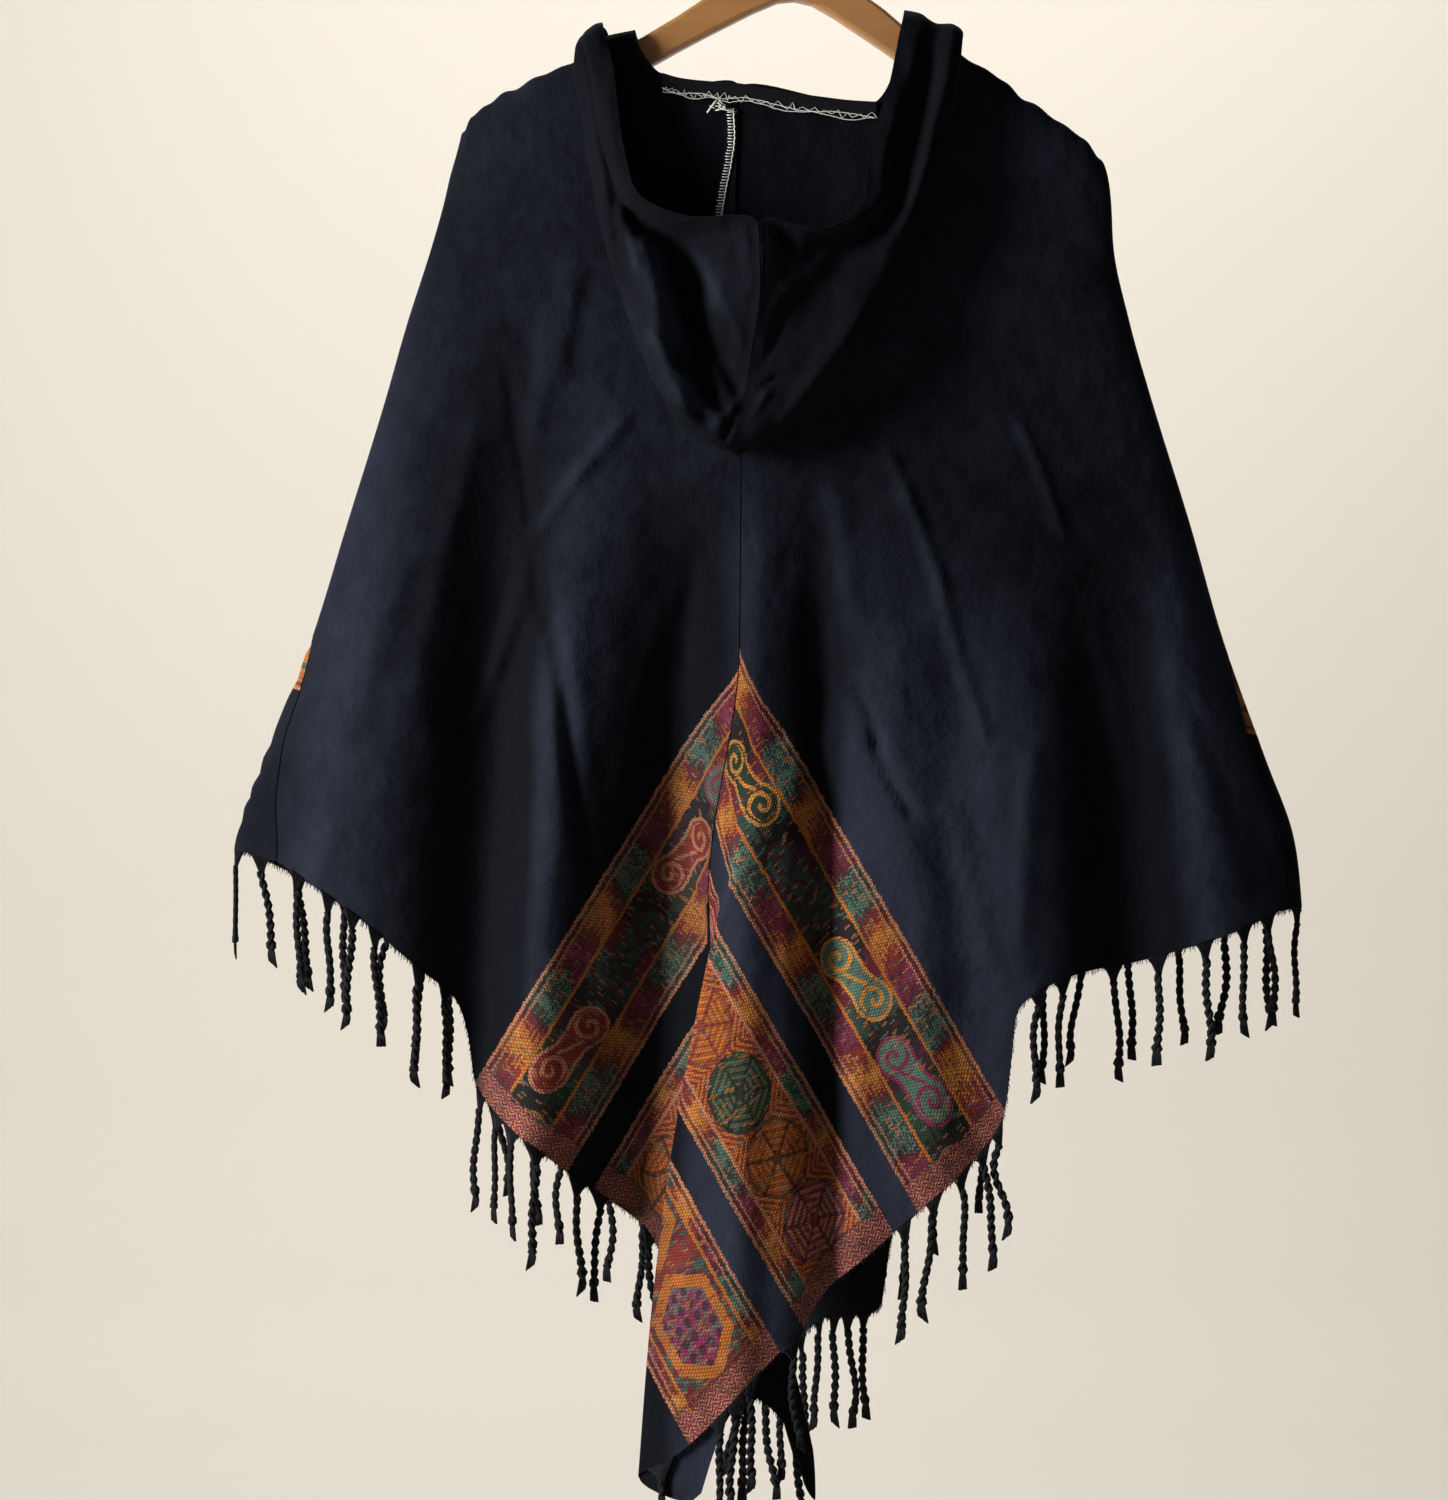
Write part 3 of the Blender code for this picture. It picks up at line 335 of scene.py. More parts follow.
def across_share(x, drop):
    """How far x lies from the middle of the body towards its outline, from -1 to 1."""
    left, right = outline(LEFT, drop), outline(RIGHT, drop)
    return np.clip((2 * x - left - right) / (right - left), -1, 1)


def line_rise(rows, names, x, drop, grow, ends):
    """How far folds or creases along straight or bowed lines stand out of a face."""
    rise = np.zeros(np.shape(x))
    for values in zip(*(rows[name] for name in names.split())):
        x0, drop0, x1, drop1, width, out = values[:6]
        bow = values[6] if len(values) > 6 else 0
        down = (drop - drop0) / (drop1 - drop0)
        line = x0 + (x1 - x0) * down + bow * np.sin(math.pi * np.clip(down, 0, 1))
        along = smooth(down * grow) * (smooth((1.15 - down) * ends) if ends else 1)
        rise = rise + out * along * np.exp(-(((x - line) / width) ** 2))
    return rise


def uneven(x, y, seed):
    """Smooth chance unevenness from -1 to 1, about one unit across."""
    cell_x, cell_y = np.floor(x), np.floor(y)
    part_x, part_y = smooth(x - cell_x), smooth(y - cell_y)

    def corner(a, b):
        chance = np.sin(a * 127.1 + b * 311.7 + seed * 74.7) * 43758.5453
        return 2 * (chance - np.floor(chance)) - 1

    low = blend(corner(cell_x, cell_y), corner(cell_x + 1, cell_y), part_x)
    high = blend(corner(cell_x, cell_y + 1), corner(cell_x + 1, cell_y + 1), part_x)
    return blend(low, high, part_y)


def fold_rise(face, x, drop):
    """How far the large folds, the creases and the drape's unevenness stand out of one face."""
    rise = FOLD_DEPTH * line_rise(FOLDS[face], FOLD_COLUMNS, x, drop, 1.4, 0)
    rise = rise + CREASE_DEPTH * line_rise(CREASES[face], CREASE_COLUMNS, x, drop, 5, 5)
    soft = 0
    for size, height, stretch in DRAPE:
        soft = soft + height * uneven(x / size, drop * stretch / size, face + size)
    return rise + soft * rising(drop, *DRAPE_FROM)


def body_y(face, x, drop):
    """The body's depth at a place on one face."""
    share = np.abs(across_share(x, drop))
    square = curve(OUTLINE, "drop", "square", drop)
    round_off = np.power(np.clip(1 - share**square, 0, 1), 1 / square)
    depth = curve(OUTLINE, "drop", "depth", drop) * round_off
    return face * (SEAM / 2 + depth + fold_rise(face, x, drop) * (1 - share**4))


def top_edge(side, face, s):
    """Neckline from the centre, then shoulder seam along the outline. s is 0 at the centre."""
    neck = NECKLINE[face, side]
    neck_share = np.clip(s / NECK_SHARE, 0, 1)
    shoulder_share = np.clip((s - NECK_SHARE) / (1 - NECK_SHARE), 0, 1)
    high, low = SHOULDER[side]
    shoulder_drop = blend(high, low, shoulder_share)
    on_neck = s < NECK_SHARE
    x = np.where(on_neck, curve(neck, "share", "x", neck_share), outline(side, shoulder_drop))
    drop = np.where(on_neck, curve(neck, "share", "drop", neck_share), shoulder_drop)
    return x, drop


def gathers(s, t):
    """The puckers of the shoulder seam, as a lift."""
    along = np.clip(s - NECK_SHARE, 0, 1) * TOP_LONG
    wave = np.sin(2 * math.pi * along / GATHER) + 0.8 * np.sin(along / GATHER_FINE + 2)
    return GATHER_RISE * wave * rising(s, NECK_SHARE, GATHER_FROM) * smooth(1 - t / GATHER_END)


def seam_round(side, drop):
    """How far round on the back the arm seam lies."""
    return curve(ARM_SEAM, "drop", SIDE_NAMES[side], drop)


def back_points(side, v, t):
    """Points of a back panel's middle surface, in millimetres, as x, y and drop."""
    s = 1 - v / HEM
    top_x, top_drop = top_edge(side, BACK, s)
    hem = BACK_HEM[side]
    hem_drop = curve(hem, "v", "drop", v)
    drop = blend(top_drop, hem_drop, t)
    x = blend(top_x, curve(hem, "v", "x", v), t)
    x = x + curve(CENTRE_SEAM, "t", "shift", t) * np.exp(-SEAM_REACH * s * s)
    # the edge at the arm follows the outline, or lies inside it where the front wraps round
    edge_drop = blend(top_edge(side, BACK, np.ones_like(s))[1], hem["drop"][0], t)
    edge_now = blend(top_edge(side, BACK, np.ones_like(s))[0], hem["x"][0], t)
    inward = seam_round(side, edge_drop)
    wanted = outline(side, edge_drop) - side * (inward + SEAM / 2 * smooth(inward / 3))
    x = x + (wanted - edge_now) * smooth(s) ** 3
    # the pleat
    grown = np.clip((t - PLEAT_START) / (1 - PLEAT_START), 0, 1) ** PLEAT_GROWTH[side]
    x = x + curve(PLEAT[side], "v", "across", v) * grown
    drop = drop + curve(PLEAT[side], "v", "down", v) * grown
    out = curve(PLEAT[side], "v", "out", v) * smooth((t - PLEAT_START + PLEAT_RISE) / PLEAT_RISE)
    x = np.where(t < 1e-9, np.where(s < NECK_SHARE, x, top_x), x)
    y = body_y(BACK, x, drop) - out
    return np.stack([x, y, drop - gathers(s, t)], axis=-1)


def front_points(side, v, t):
    """The same for a front panel, whose edge may lie round on the back."""
    s = 1 - v / HEM
    top_x, top_drop = top_edge(side, FRONT, s)
    hem = FRONT_HEM[side]
    hem_drop = curve(hem, "v", "drop", v)
    hem_x = outline(side, hem_drop) - side * curve(hem, "v", "inward", v)
    drop = blend(top_drop, hem_drop, t)
    inward = side * (outline(side, drop) - blend(top_x, hem_x, t))
    edge_x, edge_drop = top_edge(side, FRONT, np.ones_like(s))
    edge_drop = blend(edge_drop, hem["drop"][0], t)
    edge_x = blend(edge_x, outline(side, hem["drop"][0]) - side * hem["inward"][0], t)
    edge_inward = side * (outline(side, edge_drop) - edge_x)
    inward = inward + (-seam_round(side, edge_drop) - edge_inward) * smooth(s) ** 3
    around = np.sqrt(inward**2 + 0.5) - math.sqrt(0.5)
    x = outline(side, drop) - side * np.where(t < 1e-9, np.maximum(inward, 0), around)
    y = np.where(inward < -0.01, body_y(BACK, x, drop), body_y(FRONT, x, drop))
    return np.stack([x, y, drop - gathers(s, t)], axis=-1)


def part_edges(edge, inner, other_inner, extra=0):
    """Moves an edge back from the one it is sewn to, so far that the walls clear each other at their fold."""
    toward = edge - inner
    reach = np.linalg.norm(toward, axis=-1, keepdims=True)
    toward = toward / np.maximum(reach, 1e-6)
    other = edge - other_inner
    other = other / np.maximum(np.linalg.norm(other, axis=-1, keepdims=True), 1e-6)
    straightness = np.clip(-np.sum(toward * other, axis=-1, keepdims=True), -0.6, 1)
    back_off = SEAM * 0.7 + extra + CLOTH / 2 * np.sqrt((1 - straightness) / (1 + straightness))
    return edge - toward * np.minimum(back_off, reach * 0.7)


def mirrored(points):
    """The same points on the other face."""
    return points * np.array((1, -1, 1))


# Mesh steps along the hem in millimetres and down the panel as a share.
COLUMN_STEP, ROW_STEP = {BACK: 5.0, FRONT: 7.0}, {BACK: 0.0062, FRONT: 0.0085}
TURN_GAP = 0.9  # the centre seam opens by this much more where the pleat's inner leg stands square


def panel_places(side, face):
    """The v and t of every point of a panel's mesh."""
    columns = finer((BACK_COLUMNS if face == BACK else FRONT_COLUMNS)[side], COLUMN_STEP[face])
    rows = finer(BACK_ROWS if face == BACK else FRONT_ROWS, ROW_STEP[face])
    return np.meshgrid(columns, rows)


def panel_grid(side, face):
    """A panel's points, with its edges parted from the pieces they are sewn to."""
    points = back_points if face == BACK else front_points
    v, t = panel_places(side, face)
    grid = points(side, v, t)
    made = grid.copy()
    # the centre seam, beside the other half's column at the same distance from it
    turning = np.exp(-(((t[:, -1:] - PLEAT_TURN) / 0.02) ** 2)) * (face == BACK)
    made[:, -1] = part_edges(grid[:, -1], grid[:, -2], points(-side, v, t)[:, -2], TURN_GAP * turning)
    # the arm seam: on the outline the other panel mirrors this one, further round it goes straight on
    straight_on = 2 * grid[:, 0] - grid[:, 1]
    on_back = smooth(np.abs(grid[:, 0, 1:2]) / 4)
    made[:, 0] = part_edges(grid[:, 0], grid[:, 1], blend(mirrored(grid[:, 1]), straight_on, on_back))
    # the shoulder seam
    shoulder = v[0] <= NECK_V + 1e-6
    made[0, shoulder] = part_edges(grid[0], grid[1], mirrored(grid[1]))[shoulder]
    made[0, 0, 1] = (made[0, 1, 1] + made[1, 0, 1]) / 2
    return made


NECK_HALF = 80.0  # half of the neckline, across the flat quarter
SHOULDER_SIDE = 106.0  # the shoulder edge runs this far out and down
HEM_OUT, CENTRE_LONG = 536.0, 992.0  # how far the hem reaches out, and the length of the centre edge


def flat_cut(v, t):
    """Where a place lies on the flat cloth: its distances across the bands and up from the hem."""
    s = 1 - v / HEM
    past_neck = np.clip((s - NECK_SHARE) / (1 - NECK_SHARE), 0, 1)
    top_across = np.where(s < NECK_SHARE, NECK_HALF * s / NECK_SHARE, NECK_HALF + SHOULDER_SIDE * past_neck)
    across = blend(top_across, HEM_OUT * s, t)
    down = blend(SHOULDER_SIDE * past_neck, CENTRE_LONG - HEM_OUT * s, t)
    return (NECK_HALF - across + down) / math.sqrt(2), (CENTRE_LONG - across - down) / math.sqrt(2)


# How the bands hang on each back panel: where their outer edge meets the centre seam and the hem, and where
# the hem ends for the eye, as x and drop.
BANDS_HUNG = {
    LEFT: ((-44, 549), (-229.6, 850.5), (-100, 959)),
    RIGHT: ((-44, 549), (140, 868), (-86, 1099)),
}
BAND_EDGE_AT = 334.0  # that outer edge's distance across the bands
BAND_STRETCH = 1.07  # the distance across the bands grows this much faster than it hangs
FOLD_FROM = {LEFT: 714, RIGHT: 688}  # past this far along the hem the cloth turns under
SPIRE_HIGH, SPIRE_DROP, SPIRE_WIDE = 9, 545, 38  # the bands run up into a thin point at the centre seam
HELD_FROM = (-90, 60)  # this far outside their edge the bands begin to be held straight, and how softly
HEM_FREE = (20, 45)  # up from the hem the cloth's own measure gives way to theirs
PLAIN_SHIFT = {LEFT: 60, RIGHT: 0}  # below the flap the left panel's under layer shows its plain part
PLAIN_V, PLAIN_DROP = (585, 30), (940, 60)  # where that begins


def as_hung(side, v, x, drop, across_bands, up_from_hem):
    """The distances across and along the bands, kept straight over the layers of the pleat."""
    apex, corner, far = np.array(BANDS_HUNG[side], float)
    along = (apex - corner) / np.linalg.norm(apex - corner)
    hem = (far - corner) / np.linalg.norm(far - corner)
    x, drop_in = x - corner[0], drop - corner[1]
    inside = side * (x * along[1] - drop_in * along[0])
    inside = inside - SPIRE_HIGH * np.exp(-(((drop - SPIRE_DROP) / SPIRE_WIDE) ** 2))
    up = (x * hem[1] - drop_in * hem[0]) / (along[0] * hem[1] - along[1] * hem[0])
    hold = rising(inside, *HELD_FROM)
    more_across = (BAND_EDGE_AT + BAND_STRETCH * inside - across_bands) * hold
    more_up = (up - up_from_hem) * hold * rising(up_from_hem, *HEM_FREE)
    fold = int(np.argmin(np.abs(v[0] - FOLD_FROM[side])))
    more_across[:, fold:] = more_across[:, fold : fold + 1]
    more_up[:, fold:] = more_up[:, fold : fold + 1]
    more_across += PLAIN_SHIFT[side] * rising(v, *PLAIN_V) * rising(drop, *PLAIN_DROP)
    return across_bands + more_across, up_from_hem + more_up


def to_world(points):
    """Millimetres with drop downwards to metres with +Z up."""
    points = np.array(points, float).reshape(-1, 3) * MM
    points[:, 2] *= -1
    return points.tolist()


def faces_out(mesh, weld=0):
    """Turns all faces outwards, after places closer to each other than the weld distance are made one."""
    shape = bmesh.new()
    shape.from_mesh(mesh)
    if weld:
        bmesh.ops.remove_doubles(shape, verts=shape.verts, dist=weld)
    bmesh.ops.recalc_face_normals(shape, faces=shape.faces)
    shape.to_mesh(mesh)
    shape.free()
    mesh.shade_smooth()


def place_object(name, mesh, material):
    """Puts a finished mesh into the scene as one piece that rides on the body."""
    mesh.materials.append(material)
    piece = bpy.data.objects.new(name, mesh)
    bpy.context.scene.collection.objects.link(piece)
    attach(piece, "root")
    return piece


def cloth_sheet(name, grid, cut, material, raised, repeat=0):
    """A thin shell through a grid of places.

    Its UV map is the flat cut in metres. The attribute "raised" carries painted light and shade: paler where
    a place stands out of the folds, darker in them, and "start" says at which motif the woven repeat starts.
    """
    rows, columns = grid.shape[:2]
    faces = []
    for i in range(rows - 1):
        for a in range(i * columns, (i + 1) * columns - 1):
            faces.append((a, a + 1, a + columns + 1, a + columns))
    mesh = bpy.data.meshes.new(name)
    mesh.from_pydata(to_world(grid), [], faces)
    layer = mesh.uv_layers.new(name="cut")
    flat = np.stack([np.ravel(cut[0]), np.ravel(cut[1])], axis=-1) * MM
    order = np.array([loop.vertex_index for loop in mesh.loops])
    layer.data.foreach_set("uv", flat[order].ravel())
    for key, values in (("raised", np.ravel(raised)), ("start", np.full(raised.size, repeat))):
        mesh.attributes.new(key, "FLOAT", "POINT").data.foreach_set("value", values.astype(np.float32))
    faces_out(mesh, weld=1e-6)
    piece = place_object(name, mesh, material)
    wall_of_cloth = piece.modifiers.new("wall", "SOLIDIFY")
    wall_of_cloth.thickness = CLOTH * MM
    wall_of_cloth.offset = 0
    bpy.ops.object.select_all(action="DESELECT")
    piece.select_set(True)
    bpy.context.view_layer.objects.active = piece
    bpy.ops.object.modifier_apply(modifier="wall")
    piece.data.set_sharp_from_angle(angle=math.radians(62))
    return piece


class Thread:
    """A number that changes over the cloth, worked out by math nodes, so that a weave is written as sums."""

    def __init__(self, tree, socket):
        self.tree = tree
        self.socket = socket

    def make(self, operation, *others):
        node = self.tree.nodes.new("ShaderNodeMath")
        node.operation = operation
        for socket, value in zip(node.inputs, (self, *others)):
            if isinstance(value, Thread):
                self.tree.links.new(value.socket, socket)
            else:
                socket.default_value = value
        return Thread(self.tree, node.outputs[0])

    __add__ = partialmethod(make, "ADD")
    __sub__ = partialmethod(make, "SUBTRACT")
    __mul__ = partialmethod(make, "MULTIPLY")
    __truediv__ = partialmethod(make, "DIVIDE")
    size = partialmethod(make, "ABSOLUTE")
    floor = partialmethod(make, "FLOOR")
    part = partialmethod(make, "FRACT")
    below = partialmethod(make, "LESS_THAN")
    above = partialmethod(make, "GREATER_THAN")
    least = partialmethod(make, "MINIMUM")
    most = partialmethod(make, "MAXIMUM")

    def wave(self):
        return (self * (2 * math.pi)).make("SINE")

    def chance(self):
        node = self.tree.nodes.new("ShaderNodeTexWhiteNoise")
        node.noise_dimensions = "1D"
        self.tree.links.new(self.socket, node.inputs["W"])
        return Thread(self.tree, node.outputs["Value"])

    def soft_step(self, low, high):
        node = self.tree.nodes.new("ShaderNodeMapRange")
        node.interpolation_type = "SMOOTHSTEP"
        self.tree.links.new(self.socket, node.inputs["Value"])
        node.inputs["From Min"].default_value = low
        node.inputs["From Max"].default_value = high
        return Thread(self.tree, node.outputs["Result"])


def cloudy(tree, place, scale, detail=2.0):
    """Soft chance clouds from about 0 to 1, the finer the larger their scale."""
    node = tree.nodes.new("ShaderNodeTexNoise")
    tree.links.new(place, node.inputs["Vector"])
    node.inputs["Scale"].default_value = scale
    node.inputs["Detail"].default_value = detail
    return Thread(tree, node.outputs[0])


def striped(tree, position, colours):
    """Colours by place along a run, each from its own start on."""
    node = tree.nodes.new("ShaderNodeValToRGB")
    ramp = node.color_ramp
    ramp.interpolation = "CONSTANT"
    while len(ramp.elements) < len(colours):
        ramp.elements.new(0.5)
    for element, (start, colour) in zip(ramp.elements, colours):
        element.position = start
    for element, (start, colour) in zip(ramp.elements, colours):
        element.color = (*colour, 1)
    tree.links.new(position.socket, node.inputs["Fac"])
    return node.outputs["Color"]


def dyed(tree, share, a, b):
    """Colour a, with b over it by a share."""
    node = tree.nodes.new("ShaderNodeMix")
    node.data_type = "RGBA"
    for socket, value in ((node.inputs["Factor"], share), (node.inputs["A"], a), (node.inputs["B"], b)):
        if isinstance(value, Thread):
            tree.links.new(value.socket, socket)
        elif isinstance(value, tuple):
            socket.default_value = (*value, 1)
        elif isinstance(value, float):
            socket.default_value = value
        else:
            tree.links.new(value, socket)
    return node.outputs["Result"]


def carried(tree, name):
    """A number that the mesh carries from place to place."""
    node = tree.nodes.new("ShaderNodeAttribute")
    node.attribute_name = name
    return Thread(tree, node.outputs["Fac"])


def own_place(tree):
    """Places measured from the shared origin, in metres."""
    return tree.nodes.new("ShaderNodeTexCoord").outputs["Object"]


def set_relief(tree, shader, height, strength, distance):
    """A fine relief of the surface, which is no part of its mesh."""
    bump = tree.nodes.new("ShaderNodeBump")
    bump.inputs["Strength"].default_value = strength
    bump.inputs["Distance"].default_value = distance
    tree.links.new(height.socket, bump.inputs["Height"])
    tree.links.new(bump.outputs["Normal"], shader.inputs["Normal"])


# The dyes, as light sees them.
NAVY = (0.0170, 0.0200, 0.0330)
# painted shade: the navy of the folds' troughs and of the shaded side
NAVY_PAINTED_SHADE = (0.0022, 0.0025, 0.0042)
ORANGE = (0.44, 0.135, 0.022)
AMBER = (0.54, 0.22, 0.04)
SALMON = (0.46, 0.18, 0.095)
RED = (0.22, 0.028, 0.022)
MAROON = (0.135, 0.017, 0.026)
MAGENTA = (0.22, 0.03, 0.075)
TEAL = (0.085, 0.165, 0.125)
DARK_TEAL = (0.030, 0.058, 0.048)
GREEN = (0.022, 0.040, 0.024)
PLUM = (0.045, 0.016, 0.030)
SOOT = (0.014, 0.012, 0.012)
RUST = (0.30, 0.065, 0.016)
OLIVE = (0.09, 0.10, 0.05)
SAND = (0.16, 0.14, 0.11)

BAND_CENTRE, BAND_PITCH = 380.0, 116.5  # the three bands across the cloth
BAND_HALF = 46.5
TRIM_WIDE = 2.5  # the pale line along a band's edges
SCROLL_HALF, WHEEL_HALF, HEX_HALF = 18.5, 28.0, 32.0  # half widths of the motifs' field in each band
SCROLL_CELL, WHEEL_CELL = 78.0, 52.0  # lengths of one motif, the hexagons' being the scrolls'
SCROLL_FROM, WHEEL_FROM, HEX_FROM = 27, 18, 16.6  # where each kind starts above the hem
WHEEL_RIM = 24.6  # radius of a wheel
HEAD_UP, HEAD_OVER, HEAD_RADIUS = 19.5, 1.6, 13.8  # the head of a scroll, from the scroll's middle
WAIST_HALF, CURL_STEP = 10.5, 8.6  # half its waist, and the distance between the turns of its curl
BLOCK_RUN = 102.0  # repeat of the blocks of colour: red, orange, teal
BLOCK_STEP = 68  # the blocks lie this much further on from band to band
BORDER = 19.0  # height of the woven end border above the hem
FLOAT_HIGH, FLOAT_LONG = 2.1, 2.3  # one stitch of the weave, across and along the bands


def wool_material():
    """The cloth, with its weave and bands worked out from the place on the flat cut."""
    material, tree, shader = new_material(
        "banded_wool",
        {
            "Roughness": 0.88, "Specular IOR Level": 0.06, "Sheen Weight": 0.015, "Sheen Roughness": 0.4,
            "Sheen Tint": (0.6, 0.66, 0.9, 1),
        },
    )
    cut = tree.nodes.new("ShaderNodeUVMap")
    cut.uv_map = "cut"
    apart = tree.nodes.new("ShaderNodeSeparateXYZ")
    tree.links.new(cut.outputs["UV"], apart.inputs[0])
    up = Thread(tree, apart.outputs["X"]) * 1000  # up from the hem, along the bands
    over = Thread(tree, apart.outputs["Y"]) * 1000  # across the bands
    place = own_place(tree)
    mottle = cloudy(tree, place, 60)
    speckle = cloudy(tree, place, 420)
    cloud = cloudy(tree, place, 9)

    # stitches: short floats of yarn in a brick pattern
    row = (over / FLOAT_HIGH).floor()
    shift = (row * 0.5).part()
    float_wave = (up / FLOAT_LONG + shift).wave()
    row_wave = (over / FLOAT_HIGH).part() - 0.5
    stitch = (float_wave * 0.5 + 0.5) * (row_wave.size() * -1.4 + 1)

    # which band, and how far from its middle
    edge_jog = ((up / 1.6).floor().chance() - 0.5) * 1.1
    across = over + edge_jog
    band = ((across - BAND_CENTRE) / BAND_PITCH + 0.5).floor().most(0).least(2)
    middle = across - band * BAND_PITCH - BAND_CENTRE
    away = middle.size()
    is_wheel = (band - 1).size().below(0.5)
    in_band = away.below(BAND_HALF)
    trim = away.above(BAND_HALF - TRIM_WIDE)
    is_hex = (band - 2).size().below(0.5)
    inner = is_wheel * (WHEEL_HALF - SCROLL_HALF) + is_hex * (HEX_HALF - SCROLL_HALF) + SCROLL_HALF
    motif_field = away.below(inner)
    inner_line = (away - inner - 1.2).size().below(1.2)
    side_of = middle.above(0)

    # flame-ended blocks of colour beside the middle field
    thread_row = (middle / 1.7).floor()
    ragged = ((thread_row + band * 37).chance() - 0.5) * 9
    column = (up / 1.5).floor()
    dash = (over / 4.6 + column * 0.37).floor() * 0.731 + column * 13.7
    ragged = ragged + (mottle - 0.5) * 22 + (dash.chance() - 0.5) * 7
    run = (up + ragged) * (side_of * -2 + 1) + side_of * (BLOCK_RUN / 3) + band * BLOCK_STEP
    blocks = striped(
        tree,
        (run / BLOCK_RUN).part(),
        (
            (0.0, MAROON), (0.08, MAGENTA), (0.20, MAROON), (0.26, RED), (0.36, ORANGE), (0.41, AMBER),
            (0.47, ORANGE), (0.56, RED), (0.61, MAROON), (0.65, DARK_TEAL), (0.70, TEAL), (0.82, DARK_TEAL),
            (0.91, TEAL), (0.96, PLUM),
        ),
    )
    blocks = dyed(tree, (speckle - 0.25) * 0.7, blocks, SOOT)

    # curled S motifs: one head, turned about the middle for the other
    start = carried(tree, "start")
    scroll_run = (up - SCROLL_FROM) / SCROLL_CELL
    scroll_cell = scroll_run.floor() + start
    cell_up = (scroll_run.part() - 0.5) * SCROLL_CELL
    turn = cell_up.above(0) * 2 - 1
    head_up = cell_up.size()
    head_over = middle * turn - head_up * 0.12
    to_up, to_over = head_up - HEAD_UP, head_over - HEAD_OVER
    radius = (to_up * to_up + to_over * to_over).make("SQRT")
    angle = to_over.make("ARCTAN2", to_up)
    waist = (head_over.size() - WAIST_HALF).most(head_up - HEAD_UP)
    body = (radius - HEAD_RADIUS).make("SMOOTH_MIN", waist, 7.0)
    curl = (radius / CURL_STEP - angle / (2 * math.pi)).part()
    curl_line = (curl - 0.5).size().below(0.19) * (body + 3.2).below(0) * head_up.above(8.5)
    waist_line = (head_over - head_up * 0.55).size().below(1.5) * head_up.below(9)
    edge_line = (body + 0.6).size().below(1.2)
    inside = body.below(0)
    pick = (scroll_cell / 7).part() + 0.02
    lines = (MAGENTA, AMBER, PLUM, AMBER, SALMON, PLUM, SALMON)
    fills = (TEAL, TEAL, DARK_TEAL, GREEN, RED, DARK_TEAL, RED)
    motif_line = striped(tree, pick, [(i / 7, colour) for i, colour in enumerate(lines)])
    motif_fill = striped(tree, pick, [(i / 7, colour) for i, colour in enumerate(fills)])
    field_run = ((up + ragged + band * 40) / 156).part()
    field = striped(
        tree,
        field_run,
        ((0.0, SOOT), (0.2, GREEN), (0.42, PLUM), (0.55, SOOT), (0.7, DARK_TEAL), (0.86, MAROON)),
    )
    scroll = dyed(tree, inside, field, motif_fill)
    scroll = dyed(tree, edge_line.most(curl_line).most(waist_line), scroll, motif_line)

    # spoked wheels with hatched sectors
    wheel_run = (up - WHEEL_FROM) / WHEEL_CELL
    wheel_cell = wheel_run.floor() + start
    wheel_up = (wheel_run.part() - 0.5) * WHEEL_CELL
    rim_radius = (wheel_up * wheel_up + middle * middle).make("SQRT")
    rim_angle = middle.make("ARCTAN2", wheel_up)
    sector = (rim_angle / (math.pi / 3)).part() - 0.5
    spoke = sector.size() * -1 + 0.5
    spoke_away = spoke * rim_radius * 1.05
    chord = rim_radius * (sector * (math.pi / 3)).make("COSINE")
    hatch = (chord / 4.6).part().below(0.5)
    wheel_pick = (wheel_cell / 4).part() + 0.02
    wheel_fill, wheel_hatch, wheel_spoke = (
        striped(tree, wheel_pick, [(i / 4, colour) for i, colour in enumerate(colours)])
        for colours in (
            (MAGENTA, RUST, GREEN, RUST), (SALMON, ORANGE, OLIVE, ORANGE), (PLUM, SOOT, SOOT, MAROON)
        )
    )
    ground_chevron = ((wheel_up.size() + away) / 5.2).part().below(0.5)
    wheel_ground = dyed(tree, ground_chevron, RED, ORANGE)
    wheel = dyed(tree, hatch, wheel_fill, wheel_hatch)
    wheel = dyed(tree, spoke_away.below(1.3) * 0.75, wheel, wheel_spoke)
    wheel = dyed(tree, (rim_radius - WHEEL_RIM).size().below(1.3) * 0.7, wheel, wheel_spoke)
    wheel = dyed(tree, rim_radius.above(WHEEL_RIM + 1.3), wheel, wheel_ground)

    # hexagons
    hex_up = (((up - HEX_FROM) / SCROLL_CELL).part() - 0.5) * SCROLL_CELL
    hex_away = away.most(away * 0.5 + hex_up.size() * 0.74)
    petals = dyed(tree, (dash.chance() + mottle).above(1.1) * 0.6, MAGENTA, TEAL)
    petals = dyed(tree, ((hex_up / 9).wave() + (middle / 9).wave()).above(0.4) * 0.8, petals, PLUM)
    hexagon = dyed(tree, (hex_away - 24).size().below(3.6), petals, ORANGE)
    around_hex = dyed(tree, (mottle * 2 + dash.chance()).above(1.45), dyed(tree, 0.5, TEAL, SOOT), MAROON)
    around_hex = dyed(tree, hex_up.size().above(31) * (dash.chance() + 0.4), around_hex, RED)
    hexagon = dyed(tree, hex_away.above(27.6), hexagon, around_hex)

